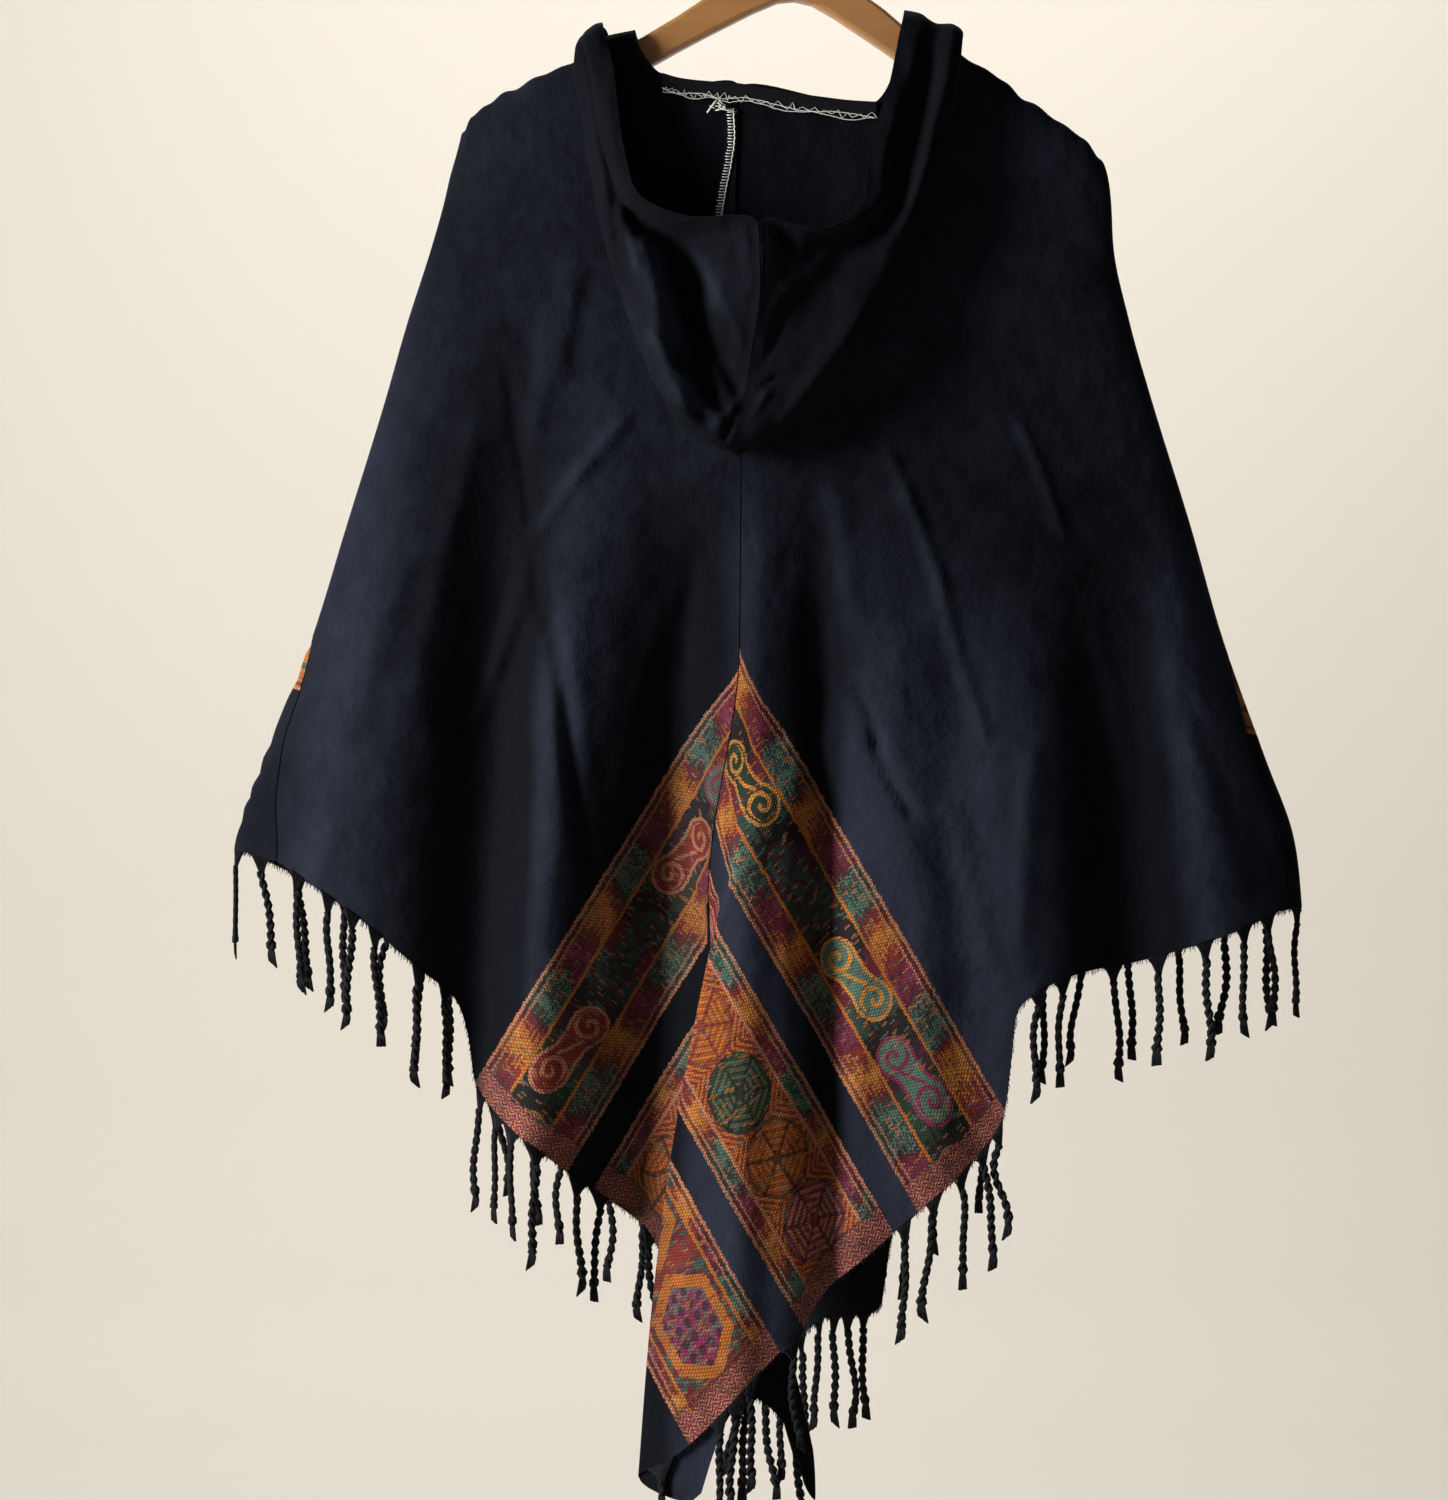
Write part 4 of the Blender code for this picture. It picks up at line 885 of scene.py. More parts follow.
    pattern = dyed(tree, is_wheel, scroll, wheel)
    pattern = dyed(tree, motif_field, blocks, dyed(tree, is_hex, pattern, hexagon))
    flecks = ((0.0, ORANGE), (0.3, TEAL), (0.5, MAROON), (0.7, SOOT), (0.9, SALMON))
    fleck = striped(tree, (dash * 2.3 + 11).chance(), flecks)
    pattern = dyed(tree, (dash * 1.7 + 5).chance().above(0.80) * 0.55, pattern, fleck)
    pattern = dyed(tree, inner_line, pattern, dyed(tree, is_wheel, ORANGE, SALMON))
    broken = (up / 3.1 + (over / 2.2).floor() * 0.37).part().below(0.8)
    pattern = dyed(tree, trim * broken, pattern, SALMON)
    pattern = dyed(tree, (away - BAND_HALF + 4.2).size().below(1.2) * 0.6, pattern, SOOT)
    pattern = dyed(tree, (away - BAND_HALF + 6.6).size().below(0.9) * broken * 0.8, pattern, SALMON)

    # the end border, a small herringbone over the warp ends
    zig = ((over / 8).part() - 0.5).size() * 8
    bone = ((up + zig + (dash.chance() - 0.5) * 1.5) / 3.4).part()
    border = striped(
        tree, bone, ((0.0, MAROON), (0.2, SALMON), (0.55, SAND), (0.68, RED), (0.82, MAGENTA))
    )
    border = dyed(tree, (mottle - 0.35) * 0.9, border, SOOT)
    in_border = (up + edge_jog * 4 + (dash.chance() - 0.5) * 5).below(BORDER) * up.above(-5)
    pattern = dyed(tree, in_border, pattern, border)
    border_edge = (up - BORDER - 1.5).size().below(1.2)
    pattern = dyed(tree, border_edge * 0.45, pattern, SOOT)
    pattern = dyed(tree, (stitch * -1.35 + 0.86).least(1), pattern, dyed(tree, 0.8, pattern, SOOT))
    pattern = dyed(tree, (mottle - 0.38) * 1.5, pattern, dyed(tree, 0.55, pattern, SOOT))

    # the plain twill, with painted light and shade from the folds
    twill = ((up + over) / 2.2).wave()
    raised = carried(tree, "raised")
    # painted light and shade: the navy is paler on the folds' ridges and near black in their troughs, with
    # chance mottling
    painted_light_and_mottle = (raised + (cloud - 0.5) * 0.4 + (mottle - 0.5) * 0.25).soft_step(0.22, 1.05)
    ground = dyed(tree, painted_light_and_mottle, NAVY_PAINTED_SHADE, NAVY)
    ground = dyed(tree, (twill * 0.5 + 0.5) * (speckle * 0.35 + 0.05) * (painted_light_and_mottle * 0.85 + 0.15), ground, NAVY)
    # painted shade over the bands, darker in the folds' troughs and on the left back panel
    pattern = dyed(tree, raised.soft_step(0.5, 0.0) * 0.4, pattern, dyed(tree, 0.75, pattern, SOOT))
    colour = dyed(tree, in_band, ground, pattern)
    tree.links.new(colour, shader.inputs["Base Color"])

    nap = cloudy(tree, place, 900, 3)
    crumple = cloudy(tree, place, 32, 4)
    relief = in_band * stitch * 0.9 + twill * 0.12 + nap * 0.5 + mottle * 1.6 + crumple * 16.0
    set_relief(tree, shader, relief, 0.5, 0.0006)
    return material


wool = wool_material()
REPEAT_START = {(BACK, LEFT): 25, (BACK, RIGHT): 0, (FRONT, LEFT): 2, (FRONT, RIGHT): 9}
FULL_LIGHT_RISE = 22.0  # a ridge this high gets the full painted light
FRONT_SHIFT = 116.0  # keeps the end border off the fronts' centre edge
FRONT_BANDS_FROM = 777.0  # on the fronts the bands run the other way, counted down from here
PLEAT_SHADE = 0.4  # painted light on the right back panel, the pleat's outer layer, and painted shade on the left, by this much
SHADE_V, SHADE_DROP = (300, 90), (560, 140)  # where that begins

panels, grids = {}, {}
for face in (BACK, FRONT):
    for side in (LEFT, RIGHT):
        place = f"{FACE_NAMES[face]}_{SIDE_NAMES[side]}"
        grid = grids[face, side] = panel_grid(side, face)
        v, t = panel_places(side, face)
        across_bands, up_from_hem = flat_cut(v, t)
        if face == BACK:
            cut = as_hung(side, v, grid[..., 0], grid[..., 2], across_bands, up_from_hem)[::-1]
        else:
            cut = (across_bands + FRONT_SHIFT, FRONT_BANDS_FROM - up_from_hem)
        # painted light and shade: paler on the folds' ridges, darker in their troughs, and on the backs by
        # side
        raised = fold_rise(face, grid[..., 0], grid[..., 2]) / FULL_LIGHT_RISE
        if face == BACK:
            raised += side * PLEAT_SHADE * rising(v, *SHADE_V) * rising(grid[..., 2], *SHADE_DROP)
        raised = np.clip(0.5 + raised, 0, 1)
        panel = cloth_sheet(f"{place}_cloth", grid, cut, wool, raised, REPEAT_START[face, side])
        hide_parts(place)
        panels[face, side] = panel

# -------------------------------------------------------------------------------------------------- the hood
# Two shaped halves of the same wool, sewn over the crown and down the centre back, hanging as an open pouch
# over the shoulders. Its face opening is turned in to a narrow hem.

# Sections of each half from the bag's bottom up its sides, over the shoulder and down to the front neckline.
# "in" is the edge at the centre-back seam or neckline, "side" the fold at its outline, and "rim" the edge at
# the crown seam, then the face opening. "back" lies half-way from "in" to "side", and "sag" is how far the
# outer layer hangs through. Then come the distances off the body: at the side fold, at three places of the
# outer layer and at the rim. "wrap" is 1 on the back, 0 on top of the shoulder and -1 on the front.
HOOD_COLUMNS = "in_x in_drop back_drop side_x side_drop rim_x rim_drop sag side roll dip mid rim wrap"
HOOD_POLE = (-46, 411, 14)  # x, drop and out of the bag's lowest point
HOOD = {
    LEFT: table(
        HOOD_COLUMNS,
        (-46, 392, 394, -79, 397, -44, 398, 0, 12, 24, 27, 28, 27, 1),
        (-45, 368, 368, -98, 369, -40, 372, 0, 15, 34, 20, 24, 24, 1),
        (-44, 332, 333, -113, 336, -36, 343, 0, 16, 38, 16, 28, 33, 1),
        (-44, 290, 295, -125, 301, -30, 304, 0, 16, 38, 15, 34, 43, 1),
        (-44, 248, 262, -134, 272, -31, 253, 6, 15, 36, 19, 40, 48, 1),
        (-45, 224, 239, -139, 248, -79, 249, 2, 14, 33, 26, 42, 46, 1),
        (-46, 196, 214, -143, 224, -113, 233, 0, 13, 30, 31, 38, 41, 1),
        (-44, 149, 182, -148, 196, -124, 200, 0, 12, 25, 29, 33, 34, 1),
        (-72, 146, 164, -153, 168, -129, 167, 0, 11, 20, 25, 28, 28, 1),
        (-98, 141, 147, -158, 144, -132, 141, 0, 10, 16, 20, 21, 20, 1),
        (-113, 124, 128, -158, 127, -137, 121, 0, 9, 14, 15, 15, 14, 1),
        (-117, 112, 117, -156, 122, -140, 112, 0, 7, 11, 12, 12, 10, 0.85),
        (-118, 108.5, 112, -154, 121, -141, 109, 0, 4, 7, 8, 7, 4, 0),
        (-116, 112, 117, -152, 122, -137, 112, 0, 7, 11, 12, 12, 10, -0.85),
        (-108, 134, 140, -145, 148, -124, 138, 0, 9, 15, 18, 18, 17, -1),
        (-78, 187, 200, -96, 212, -88, 202, 0, 8, 14, 18, 19, 18, -1),
        (-59, 203, 217, -69, 231, -64, 220, 0, 8, 14, 17, 18, 17, -1),
        (-39, 219, 234, -44, 249, -42, 237, 0, 8, 13, 16, 17, 16, -1),
    ),
    RIGHT: table(
        HOOD_COLUMNS,
        (-46, 392, 394, -9, 391, -44, 398, 0, 12, 24, 27, 28, 27, 1),
        (-45, 368, 368, 13, 366, -40, 372, 0, 15, 32, 30, 27, 24, 1),
        (-44, 332, 334, 38, 337, -36, 343, 0, 16, 36, 32, 31, 33, 1),
        (-44, 290, 294, 61, 299, -30, 304, 3, 16, 36, 30, 35, 43, 1),
        (-44, 248, 257, 76, 266, -31, 253, 12, 15, 34, 26, 40, 48, 1),
        (-45, 224, 236, 83, 243, 8, 258, 5, 14, 32, 24, 40, 46, 1),
        (-46, 196, 209, 92, 211, 38, 244, 2, 13, 30, 22, 36, 41, 1),
        (-44, 149, 180, 99, 180, 44, 217, 0, 12, 26, 18, 31, 34, 1),
        (14, 157, 169, 105, 157, 50, 184, 0, 11, 22, 14, 26, 28, 1),
        (50, 161, 152, 109, 137, 60, 152, 0, 10, 19, 13, 21, 21, 1),
        (68, 131, 128, 111, 121, 66, 124, 0, 9, 16, 11, 16, 15, 1),
        (73, 106, 111, 112, 116, 71, 105, 0, 7, 11, 7, 11, 10, 0.85),
        (75, 100, 106, 111, 114, 73, 98.5, 0, 4, 7, 4, 6, 4, 0),
        (73, 106, 111, 108, 117, 77, 106, 0, 7, 11, 9, 11, 10, -0.85),
        (64, 138, 144, 98, 152, 80, 142, 0, 9, 15, 18, 18, 17, -1),
        (31, 193, 205, 47, 218, 39, 207, 0, 8, 14, 18, 19, 18, -1),
        (0, 211, 225, 8, 239, 3, 228, 0, 8, 14, 17, 18, 17, -1),
        (-33, 221, 236, -28, 251, -31, 239, 0, 8, 13, 16, 17, 16, -1),
    ),
}
CROWN_ROWS = 5  # this many sections reach the crown seam, the rest end at the face opening
CENTRE_ROWS = 8  # this many start at the centre-back seam, the rest at the neckline
IN_OUT, BACK_OUT = 2.1, 2.7  # how far the layer against the body stands off it
TOP_DEPTH = 12.0  # half the body's depth over the hanger
ALONG_OUTER = (0.15, 0.45, 0.72)  # where the roll, the dip and the middle lie between side fold and rim
HOOD_STEPS_DOWN, HOOD_STEPS_ACROSS = 8, 9  # mesh steps between two sections and between two of their points


def catmull(points, steps):
    """Points along a smooth curve through the given ones, each stretch cut into the given number of steps."""
    points = np.asarray(points, float)
    padded = np.concatenate([[2 * points[0] - points[1]], points, [2 * points[-1] - points[-2]]])
    made = []
    for i in range(len(points) - 1):
        a, b, c, d = padded[i : i + 4]
        for f in np.arange(steps) / steps:
            bends = (2 * a - 5 * b + 4 * c - d) * f**2
            made.append(0.5 * (2 * b + (c - a) * f + bends + (3 * b - a - 3 * c + d) * f**3))
    made.append(points[-1])
    return np.array(made)


def hood_place(places):
    """Where x, drop, out and wrap put points on the body's back (wrap 1), shoulder (near 0) or front (-1)."""
    x, drop, out, wrap = np.moveaxis(places, -1, 0)
    wrap = np.clip(wrap, -1, 1)
    depth = np.where(wrap > 0, -body_y(BACK, x, drop), body_y(FRONT, x, drop))
    depth = np.maximum(depth, TOP_DEPTH)
    return np.stack([x, -wrap * (depth + out), drop - out * np.sqrt(1 - wrap**2)], axis=-1)


def hood_section(side, row):
    """The control points of one section, from its inner edge to its rim, as x, drop, out and wrap."""
    a = {name: float(values[row]) for name, values in HOOD[side].items()}
    against = 1 if abs(a["wrap"]) > 0.5 else 0.4
    points = [
        (a["in_x"], a["in_drop"], IN_OUT * against),
        ((a["in_x"] + a["side_x"]) / 2, a["back_drop"], BACK_OUT * against),
        (a["side_x"], a["side_drop"], a["side"]),
    ]
    for share, name in zip(ALONG_OUTER, ("roll", "dip", "mid")):
        sag = a["sag"] * math.sin(math.pi * share)
        drop = blend(a["side_drop"], a["rim_drop"], share) + sag
        points.append((blend(a["side_x"], a["rim_x"], share), drop, a[name]))
    points.append((a["rim_x"], a["rim_drop"], a["rim"]))
    return catmull([(*point, a["wrap"]) for point in points], HOOD_STEPS_ACROSS)


def clear_of_body(grid):
    """Keeps the hood a cloth's thickness and more outside the body, or above its shoulders."""
    for row in grid:
        face = np.where(row[:, 1] < 0, BACK, FRONT)
        raised = row[:, 2] + IN_OUT
        depth = np.where(face == BACK, -body_y(BACK, row[:, 0], raised), body_y(FRONT, row[:, 0], raised))
        limit = np.where(depth > 1, depth + IN_OUT, 0)
        row[:, 1] = face * np.maximum(np.abs(row[:, 1]), limit)


def hood_grid(side):
    """The points of one half, as if it reached right up to the other."""
    sections = [hood_section(side, row) for row in range(len(HOOD[side]["wrap"]))]
    x, drop, out = HOOD_POLE
    pole = np.tile((x + side * SEAM, drop, out, 1), (len(sections[0]), 1))
    grid = hood_place(catmull([pole] + sections, HOOD_STEPS_DOWN))
    clear_of_body(grid[1:])
    return grid


# The creases of the outer layer, by place on the photographed side.
HOOD_CREASES = table(
    CREASE_COLUMNS,
    (-118, 250, -80, 372, 10, 7.0, 2),  # the roll at the left
    (-107, 256, -88, 336, 9, 5.0, 0),
    (-95, 255, -80, 315, 5, -5.0, 0),  # the long valley beside the hanging flap
    (-80, 315, -47, 366, 5, -5.5, 2), (-104, 300, -86, 352, 5, -1.8, 2), (-112, 322, -70, 380, 5, 1.8, 3),
    (-84, 262, -40, 340, 4, 2.4, 3), (-134, 226, -124, 290, 4, -3.4, 0),
    (-127, 236, -116, 282, 4, 3.6, 0), (-119, 240, -128, 262, 3.5, -3.0, 0),
    (-43, 250, -36, 298, 3, 2.6, 0), (-33, 300, -44, 368, 3.5, -4.2, 3), (-22, 304, -38, 364, 5, 3.6, 0),
    (-72, 268, -40, 276, 7, -3.0, 0), (-78, 262, -60, 310, 7, 2.6, 4), (24, 264, -26, 312, 8, 3.4, 4),
    (40, 262, -12, 350, 12, 2.2, 4), (-10, 300, -32, 352, 4, -2.6, 3), (-96, 326, -56, 384, 6, -3.2, 0),
    (-84, 352, -62, 384, 5, 3.0, 0), (-24, 366, -44, 396, 3.5, 4.4, 0),
    (-38, 372, -54, 400, 3.5, -4.0, 0), (-66, 396, -42, 374, 4, 3.2, 0),
    (-16, 366, -38, 372, 3.5, 3.0, 0), (-14, 356, -36, 368, 3.5, -3.2, 0),
    (-20, 252, -8, 268, 5, -2.4, 0), (12, 256, 4, 276, 5, -2.0, 0),
)
HEM_WIDE = 17.0  # the turned hem of the face opening
OUTER_FROM = (0.34, 0.1)  # the share of a section where its outer layer starts, and how softly
RIM_FREE = {LEFT: (1, 10), RIGHT: (3, 14)}  # how far from the rim the creases start, and how softly
HOOD_DRAPE = ((1.5, 26, 30, 3.1), (0.8, 10, 12, 8.7))  # soft unevenness: height, width, length and seed
hood_rise = {}


def hood_half(side):
    """One half of the hood, parted from the other at the crown seam and the centre-back seam."""
    grid, other = hood_grid(side), hood_grid(-side)
    made = grid.copy()
    crown = slice(1, CROWN_ROWS * HOOD_STEPS_DOWN + 1)
    centre = slice(1, CENTRE_ROWS * HOOD_STEPS_DOWN + 1)
    made[crown, -1] = part_edges((grid + other)[crown, -1] / 2, grid[crown, -2], other[crown, -2])
    made[centre, 0] = part_edges((grid + other)[centre, 0] / 2, grid[centre, 1], other[centre, 1])
    # creases on the outer layer, and the turned hem of the face opening
    rows, count = made.shape[:2]
    outer = rising(np.arange(count) / (count - 1), *OUTER_FROM)
    from_rim = np.cumsum(np.linalg.norm(np.diff(made, axis=1), axis=2)[:, ::-1], axis=1)[:, ::-1]
    from_rim = np.concatenate([from_rim, np.zeros((rows, 1))], axis=1)
    opening = rising(np.arange(rows), CROWN_ROWS * HOOD_STEPS_DOWN, 4)[:, None]
    pucker = 0.65 + 0.35 * np.sin(1.15 * np.arange(1, rows + 1))[:, None]
    stitched = 0.9 * pucker * np.exp(-(((from_rim - HEM_WIDE) / 1.6) ** 2))
    hem = 0.7 * smooth((HEM_WIDE - from_rim) / 2) - stitched
    x, on_back, drop = made[..., 0], smooth(-made[..., 1] / 12), made[..., 2]
    small = sum(high * uneven(x / wide, drop / long, seed) for high, wide, long, seed in HOOD_DRAPE)
    rise = line_rise(HOOD_CREASES, CREASE_COLUMNS, x, drop, 6, 6)
    rise = rise * rising(from_rim, *RIM_FREE[side])
    made[..., 1] -= (rise + small + hem * opening) * outer * on_back
    # the creases' rise, kept for the hood's painted light and shade
    hood_rise[side] = (rise + small) * outer * on_back
    return made


def laid_flat(grid):
    """The flat cut of a small piece: distance along each of its rows, and down its middle line."""
    steps = np.linalg.norm(np.diff(grid, axis=1), axis=2)
    across = np.concatenate([np.zeros((grid.shape[0], 1)), np.cumsum(steps, axis=1)], axis=1)
    middle = grid[:, grid.shape[1] // 2]
    down = np.concatenate([[0], np.cumsum(np.linalg.norm(np.diff(middle, axis=0), axis=1))])
    return across, np.repeat(down[:, None], grid.shape[1], axis=1)


HOOD_PLAIN = 900  # keeps the hood's cut in the plain part of the cloth, past the bands
for side in (LEFT, RIGHT):
    grid = hood_half(side)
    across, down = laid_flat(grid)
    # painted light and shade: paler on the creases' ridges, darker in their valleys, painted shade over the
    # whole right half; the whole hood darker than the body
    raised = 0.30 + hood_rise[side] / 18 - 0.12 * (side == RIGHT)
    name = f"hood_{SIDE_NAMES[side]}"
    cut = (across + HOOD_PLAIN, down * 0.5)
    hood = cloth_sheet(f"{name}_cloth", grid, cut, wool, np.clip(raised, 0, 1))
    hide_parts(name)

# --------------------------------------------------------------------------------------- the seam allowances
# Inside the hood the raw edges of the neck seam and of its own centre seam show as narrow flaps of the same
# wool. A machine has bound them with a loose pale overlock thread.

NECK_ALLOWANCE = 13.0
ALLOWANCE_OUT = IN_OUT + CLOTH + 0.5
NECK_OUT = 0.6  # the neck's allowance stands this much further off the body
NECK_ALLOWANCE_ENDS = {LEFT: 0.7, RIGHT: 0.8}  # shares of the half necklines that it is seen on
HOOD_ALLOWANCE = table(
    "drop x0 x1", (165, -54, -45.5), (190, -54.5, -46), (220, -58, -47), (249, -60, -47)
)


def neck_allowance_grid():
    """A strip that hangs from the neck seam inside the hood, left to right."""
    line = []
    for side in (LEFT, RIGHT):
        shares = np.linspace(0, NECK_ALLOWANCE_ENDS[side], 6)
        neck = NECKLINE[BACK, side]
        half = [(curve(neck, "share", "x", f), curve(neck, "share", "drop", f)) for f in shares]
        line = half[:0:-1] + line if side == LEFT else line + half
    rows = []
    for down in (0.5, NECK_ALLOWANCE / 2, NECK_ALLOWANCE):
        places = [(x, drop + down) for x, drop in line]
        rows.append([(x, body_y(BACK, x, drop) - ALLOWANCE_OUT - NECK_OUT, drop) for x, drop in places])
    return np.array(rows, float)


def hood_allowance_grid():
    """A strip beside the hood's centre seam, lying on the inside of the left half."""
    rows = []
    for drop, x0, x1 in zip(*(HOOD_ALLOWANCE[name] for name in ("drop", "x0", "x1"))):
        rows.append([(x, body_y(BACK, x, drop) - ALLOWANCE_OUT, drop) for x in (x0, (x0 + x1) / 2, x1)])
    return np.array(rows, float)


def refined(grid, steps_down, steps_across):
    """A smoother grid through a coarse one."""
    down = catmull(grid, steps_down)
    return np.array([catmull(row, steps_across) for row in down])


def tube(corners, faces, line, radius, sides=4):
    """Adds a thin round thread along a line, closed at both ends."""
    line = np.asarray(line, float)
    radii = np.broadcast_to(np.asarray(radius, float), (len(line),))
    ways = np.gradient(line, axis=0)
    first = len(corners)
    helper = np.array((0.31, 0.83, 0.46))
    for point, way, wide in zip(line, ways, radii):
        way = way / max(np.linalg.norm(way), 1e-9)
        a = np.cross(way, helper)
        a = a / max(np.linalg.norm(a), 1e-9)
        b = np.cross(way, a)
        for k in range(sides):
            turn = 2 * math.pi * k / sides
            corners.append(point + (a * math.cos(turn) + b * math.sin(turn)) * wide)
    for i in range(len(line) - 1):
        for k in range(sides):
            n = (k + 1) % sides
            a = first + i * sides
            faces.append((a + k, a + n, a + sides + n, a + sides + k))
    faces.append(tuple(first + k for k in range(sides))[::-1])
    faces.append(tuple(first + (len(line) - 1) * sides + k for k in range(sides)))


def thread_piece(name, corners, faces, material):
    mesh = bpy.data.meshes.new(name)
    mesh.from_pydata(to_world(corners), [], faces)
    faces_out(mesh)
    return place_object(name, mesh, material)


def fibre_material(name, dark, light, settings, scale, strength, distance):
    """Cloth or yarn whose fibres vary between two colours and stand a little out of it."""
    material, tree, shader = new_material(name, settings)
    fibre = cloudy(tree, own_place(tree), scale, 3)
    tree.links.new(dyed(tree, fibre, dark, light), shader.inputs["Base Color"])
    set_relief(tree, shader, fibre, strength, distance)
    return material


def yarn_material(name, dark, light, roughness):
    settings = {"Roughness": roughness, "Specular IOR Level": 0.1}
    return fibre_material(name, dark, light, settings, 1300, 0.7, 0.0004)


ALLOWANCE_SHEEN = {"Roughness": 0.95, "Specular IOR Level": 0.05}
allowance_wool = fibre_material(
    "allowance_wool", (0.004, 0.004, 0.005), (0.011, 0.011, 0.014), ALLOWANCE_SHEEN, 600, 0.6, 0.0006
)
pale_thread = yarn_material("pale_overlock_thread", (0.55, 0.54, 0.52), (0.85, 0.84, 0.81), 0.7)
STITCH_RADIUS = 0.42
STITCH_OFF = 0.25  # the thread's middle lies this far off the allowance's face
neck_edge = neck_allowance_grid()[0]


def stitch_place(x, drop, lift=0.0):
    """A place on the face of an allowance."""
    return (x, float(body_y(BACK, x, drop)) - ALLOWANCE_OUT - NECK_OUT - CLOTH / 2 - STITCH_OFF - lift, drop)


def neck_line_at(f):
    """The neckline from its left end (0) to its right end (1)."""
    at = np.linspace(0, 1, len(neck_edge))
    return np.interp(f, at, neck_edge[:, 0]), np.interp(f, at, neck_edge[:, 2])


grid = refined(neck_allowance_grid(), 4, 5)
across, down = laid_flat(grid)
neck_flap = cloth_sheet("neck_allowance_flap", grid, (across, down), allowance_wool, across * 0)
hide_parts("neck_allowance")

LOOPS = 24  # zigzag loops of the thread along the neck
LOOP_HIGH, LOOP_LOW = 8.6, 12.6  # drops of a loop's ends below the neckline
LANES = (10.6, 13.0)  # drops of the looser threads laid along it
KNOT_PLACE = (-59, 163)  # where both seams meet, as x and drop
rng = random.Random(5)
corners, faces = [], []
line = []
for i in range(LOOPS * 2 + 1):
    x, drop = neck_line_at(i / (LOOPS * 2))
    drop += (LOOP_HIGH if i % 2 else LOOP_LOW) + rng.uniform(-1.4, 1.2)
    line.append(stitch_place(x + rng.uniform(-1.4, 1.4), drop, rng.uniform(0, 0.8)))
tube(corners, faces, catmull(line, 2), STITCH_RADIUS * 0.6, 4)
for lane, sag in enumerate(LANES):
    line = []
    for i in range(LOOPS * 2 + 1):
        x, drop = neck_line_at(i / (LOOPS * 2))
        drop += sag + 1.2 * math.sin(i * (0.41 + 0.17 * lane) + lane * 2) + rng.uniform(-0.4, 0.4)
        line.append(stitch_place(x, drop, 0.4 + 0.4 * lane))
    tube(corners, faces, catmull(line, 2), STITCH_RADIUS * 0.8, 4)
for k in range(9):  # the loose ends of the knot
    a = rng.uniform(0, 2 * math.pi)
    knot_x, knot_drop = KNOT_PLACE[0] + rng.uniform(-4, 5), KNOT_PLACE[1] + rng.uniform(-2, 3)
    start = np.array(stitch_place(knot_x, knot_drop, 0.8))
    bend = start + np.array((5 * math.cos(a), -1.2, 3.5 * math.sin(a)))
    end = start + np.array((rng.uniform(-9, 9), -0.6, rng.uniform(-4, 6)))
    tube(corners, faces, catmull([start, bend, end], 3), STITCH_RADIUS, 4)
neck_stitches = thread_piece("neck_overlock", corners, faces, pale_thread)

grid = refined(hood_allowance_grid(), 6, 3)
across, down = laid_flat(grid)
hood_flap = cloth_sheet("hood_allowance_flap", grid, (across, down), allowance_wool, across * 0)
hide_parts("hood_allowance")

SEAM_LINE = table("drop x", (165, -48.5), (185, -47.5), (205, -50), (225, -54), (248, -57.5))
STITCH_STEP, STITCH_WIDE = 2.1, 4.6
corners, faces = [], []
edge_line = []
for i, drop in enumerate(np.arange(165.5, 248, STITCH_STEP)):
    x = float(curve(SEAM_LINE, "drop", "x", drop))
    width = STITCH_WIDE + rng.uniform(-0.5, 0.6)
    line = [
        stitch_place(x, drop, -0.3),
        stitch_place(x - width / 2, drop + 0.5, 0.1),
        stitch_place(x - width, drop + 0.2, -0.3),
    ]
    tube(corners, faces, line, STITCH_RADIUS, 4)
    edge_line.append(stitch_place(x + 0.3 * (-1) ** i, drop, 0))
tube(corners, faces, edge_line, STITCH_RADIUS * 1.15, 4)
hood_stitches = thread_piece("hood_overlock", corners, faces, pale_thread)

# ------------------------------------------------------------------------------------------------ the fringe
# Warp ends left below each hem, gathered by the dozen and twisted into two-ply ropes, knotted and trimmed so
# that their tips fray. Between the ropes short loose ends of warp stand out of the hem.

ROPE = 80.0  # length of a twisted rope below the hem
ROPE_PLACES = {  # distance up the hem of each rope, none where the pleat hides the hem
    (BACK, LEFT): (27, 66, 98, 128, 187, 222, 346, 366, 380, 400, 438, 457, 507, 600, 650, 694),
    (BACK, RIGHT): (22, 47, 88, 127, 163, 212, 234, 346, 364, 384, 408, 440, 556, 590, 606, 620, 668),
    (FRONT, LEFT): (14, 40, 104, 148, 192, 228, 262, 354, 398, 442, 486, 530, 574, 618, 662, 706, 744),
    (FRONT, RIGHT): (12, 56, 100, 144, 188, 226, 256, 354, 398, 442, 579, 596, 612, 642, 690, 735),
}
LOOSE_TO = {LEFT: 703, RIGHT: 677}  # how far up the backs' hems the loose ends show
LOOSE_STEP = 1.3
ROOTS = 20  # threads that run from the hem into each rope
HALF_ROOTS = (ROOTS - 1) / 2
GATHER_WIDE = 9.0  # half of the hem's length that they come from
KNOT_DROP = 11.0  # they meet this far below the hem
ROPE_PLY = 1.9  # radius of one ply
ROPE_TWIST = 14.0  # length of one full turn
ROPE_LEAN = 0.08  # how much a rope can lean along the hem, as a share of its length
ROPE_SWAY = 4.5  # how far it can swing out of its straight line
BRUSH = 10.0  # length of the cut yarn ends past the knot
BRUSH_ENDS, BRUSH_HALF = 15, 2.9  # their number, and half their width where they leave the knot
ROPE_STEP = 2.1  # mesh step along a rope


def unit(vector):
    return vector / max(np.linalg.norm(vector), 1e-9)


black_yarn = yarn_material("black_wool_yarn", (0.004, 0.004, 0.005), (0.014, 0.014, 0.017), 0.85)


def hem_line(side, face):
    """The panel's hem edge as v, point and the way on from the cloth."""
    grid = grids[face, side]
    return panel_places(side, face)[0][0], grid[-1], grid[-1] - grid[-3]


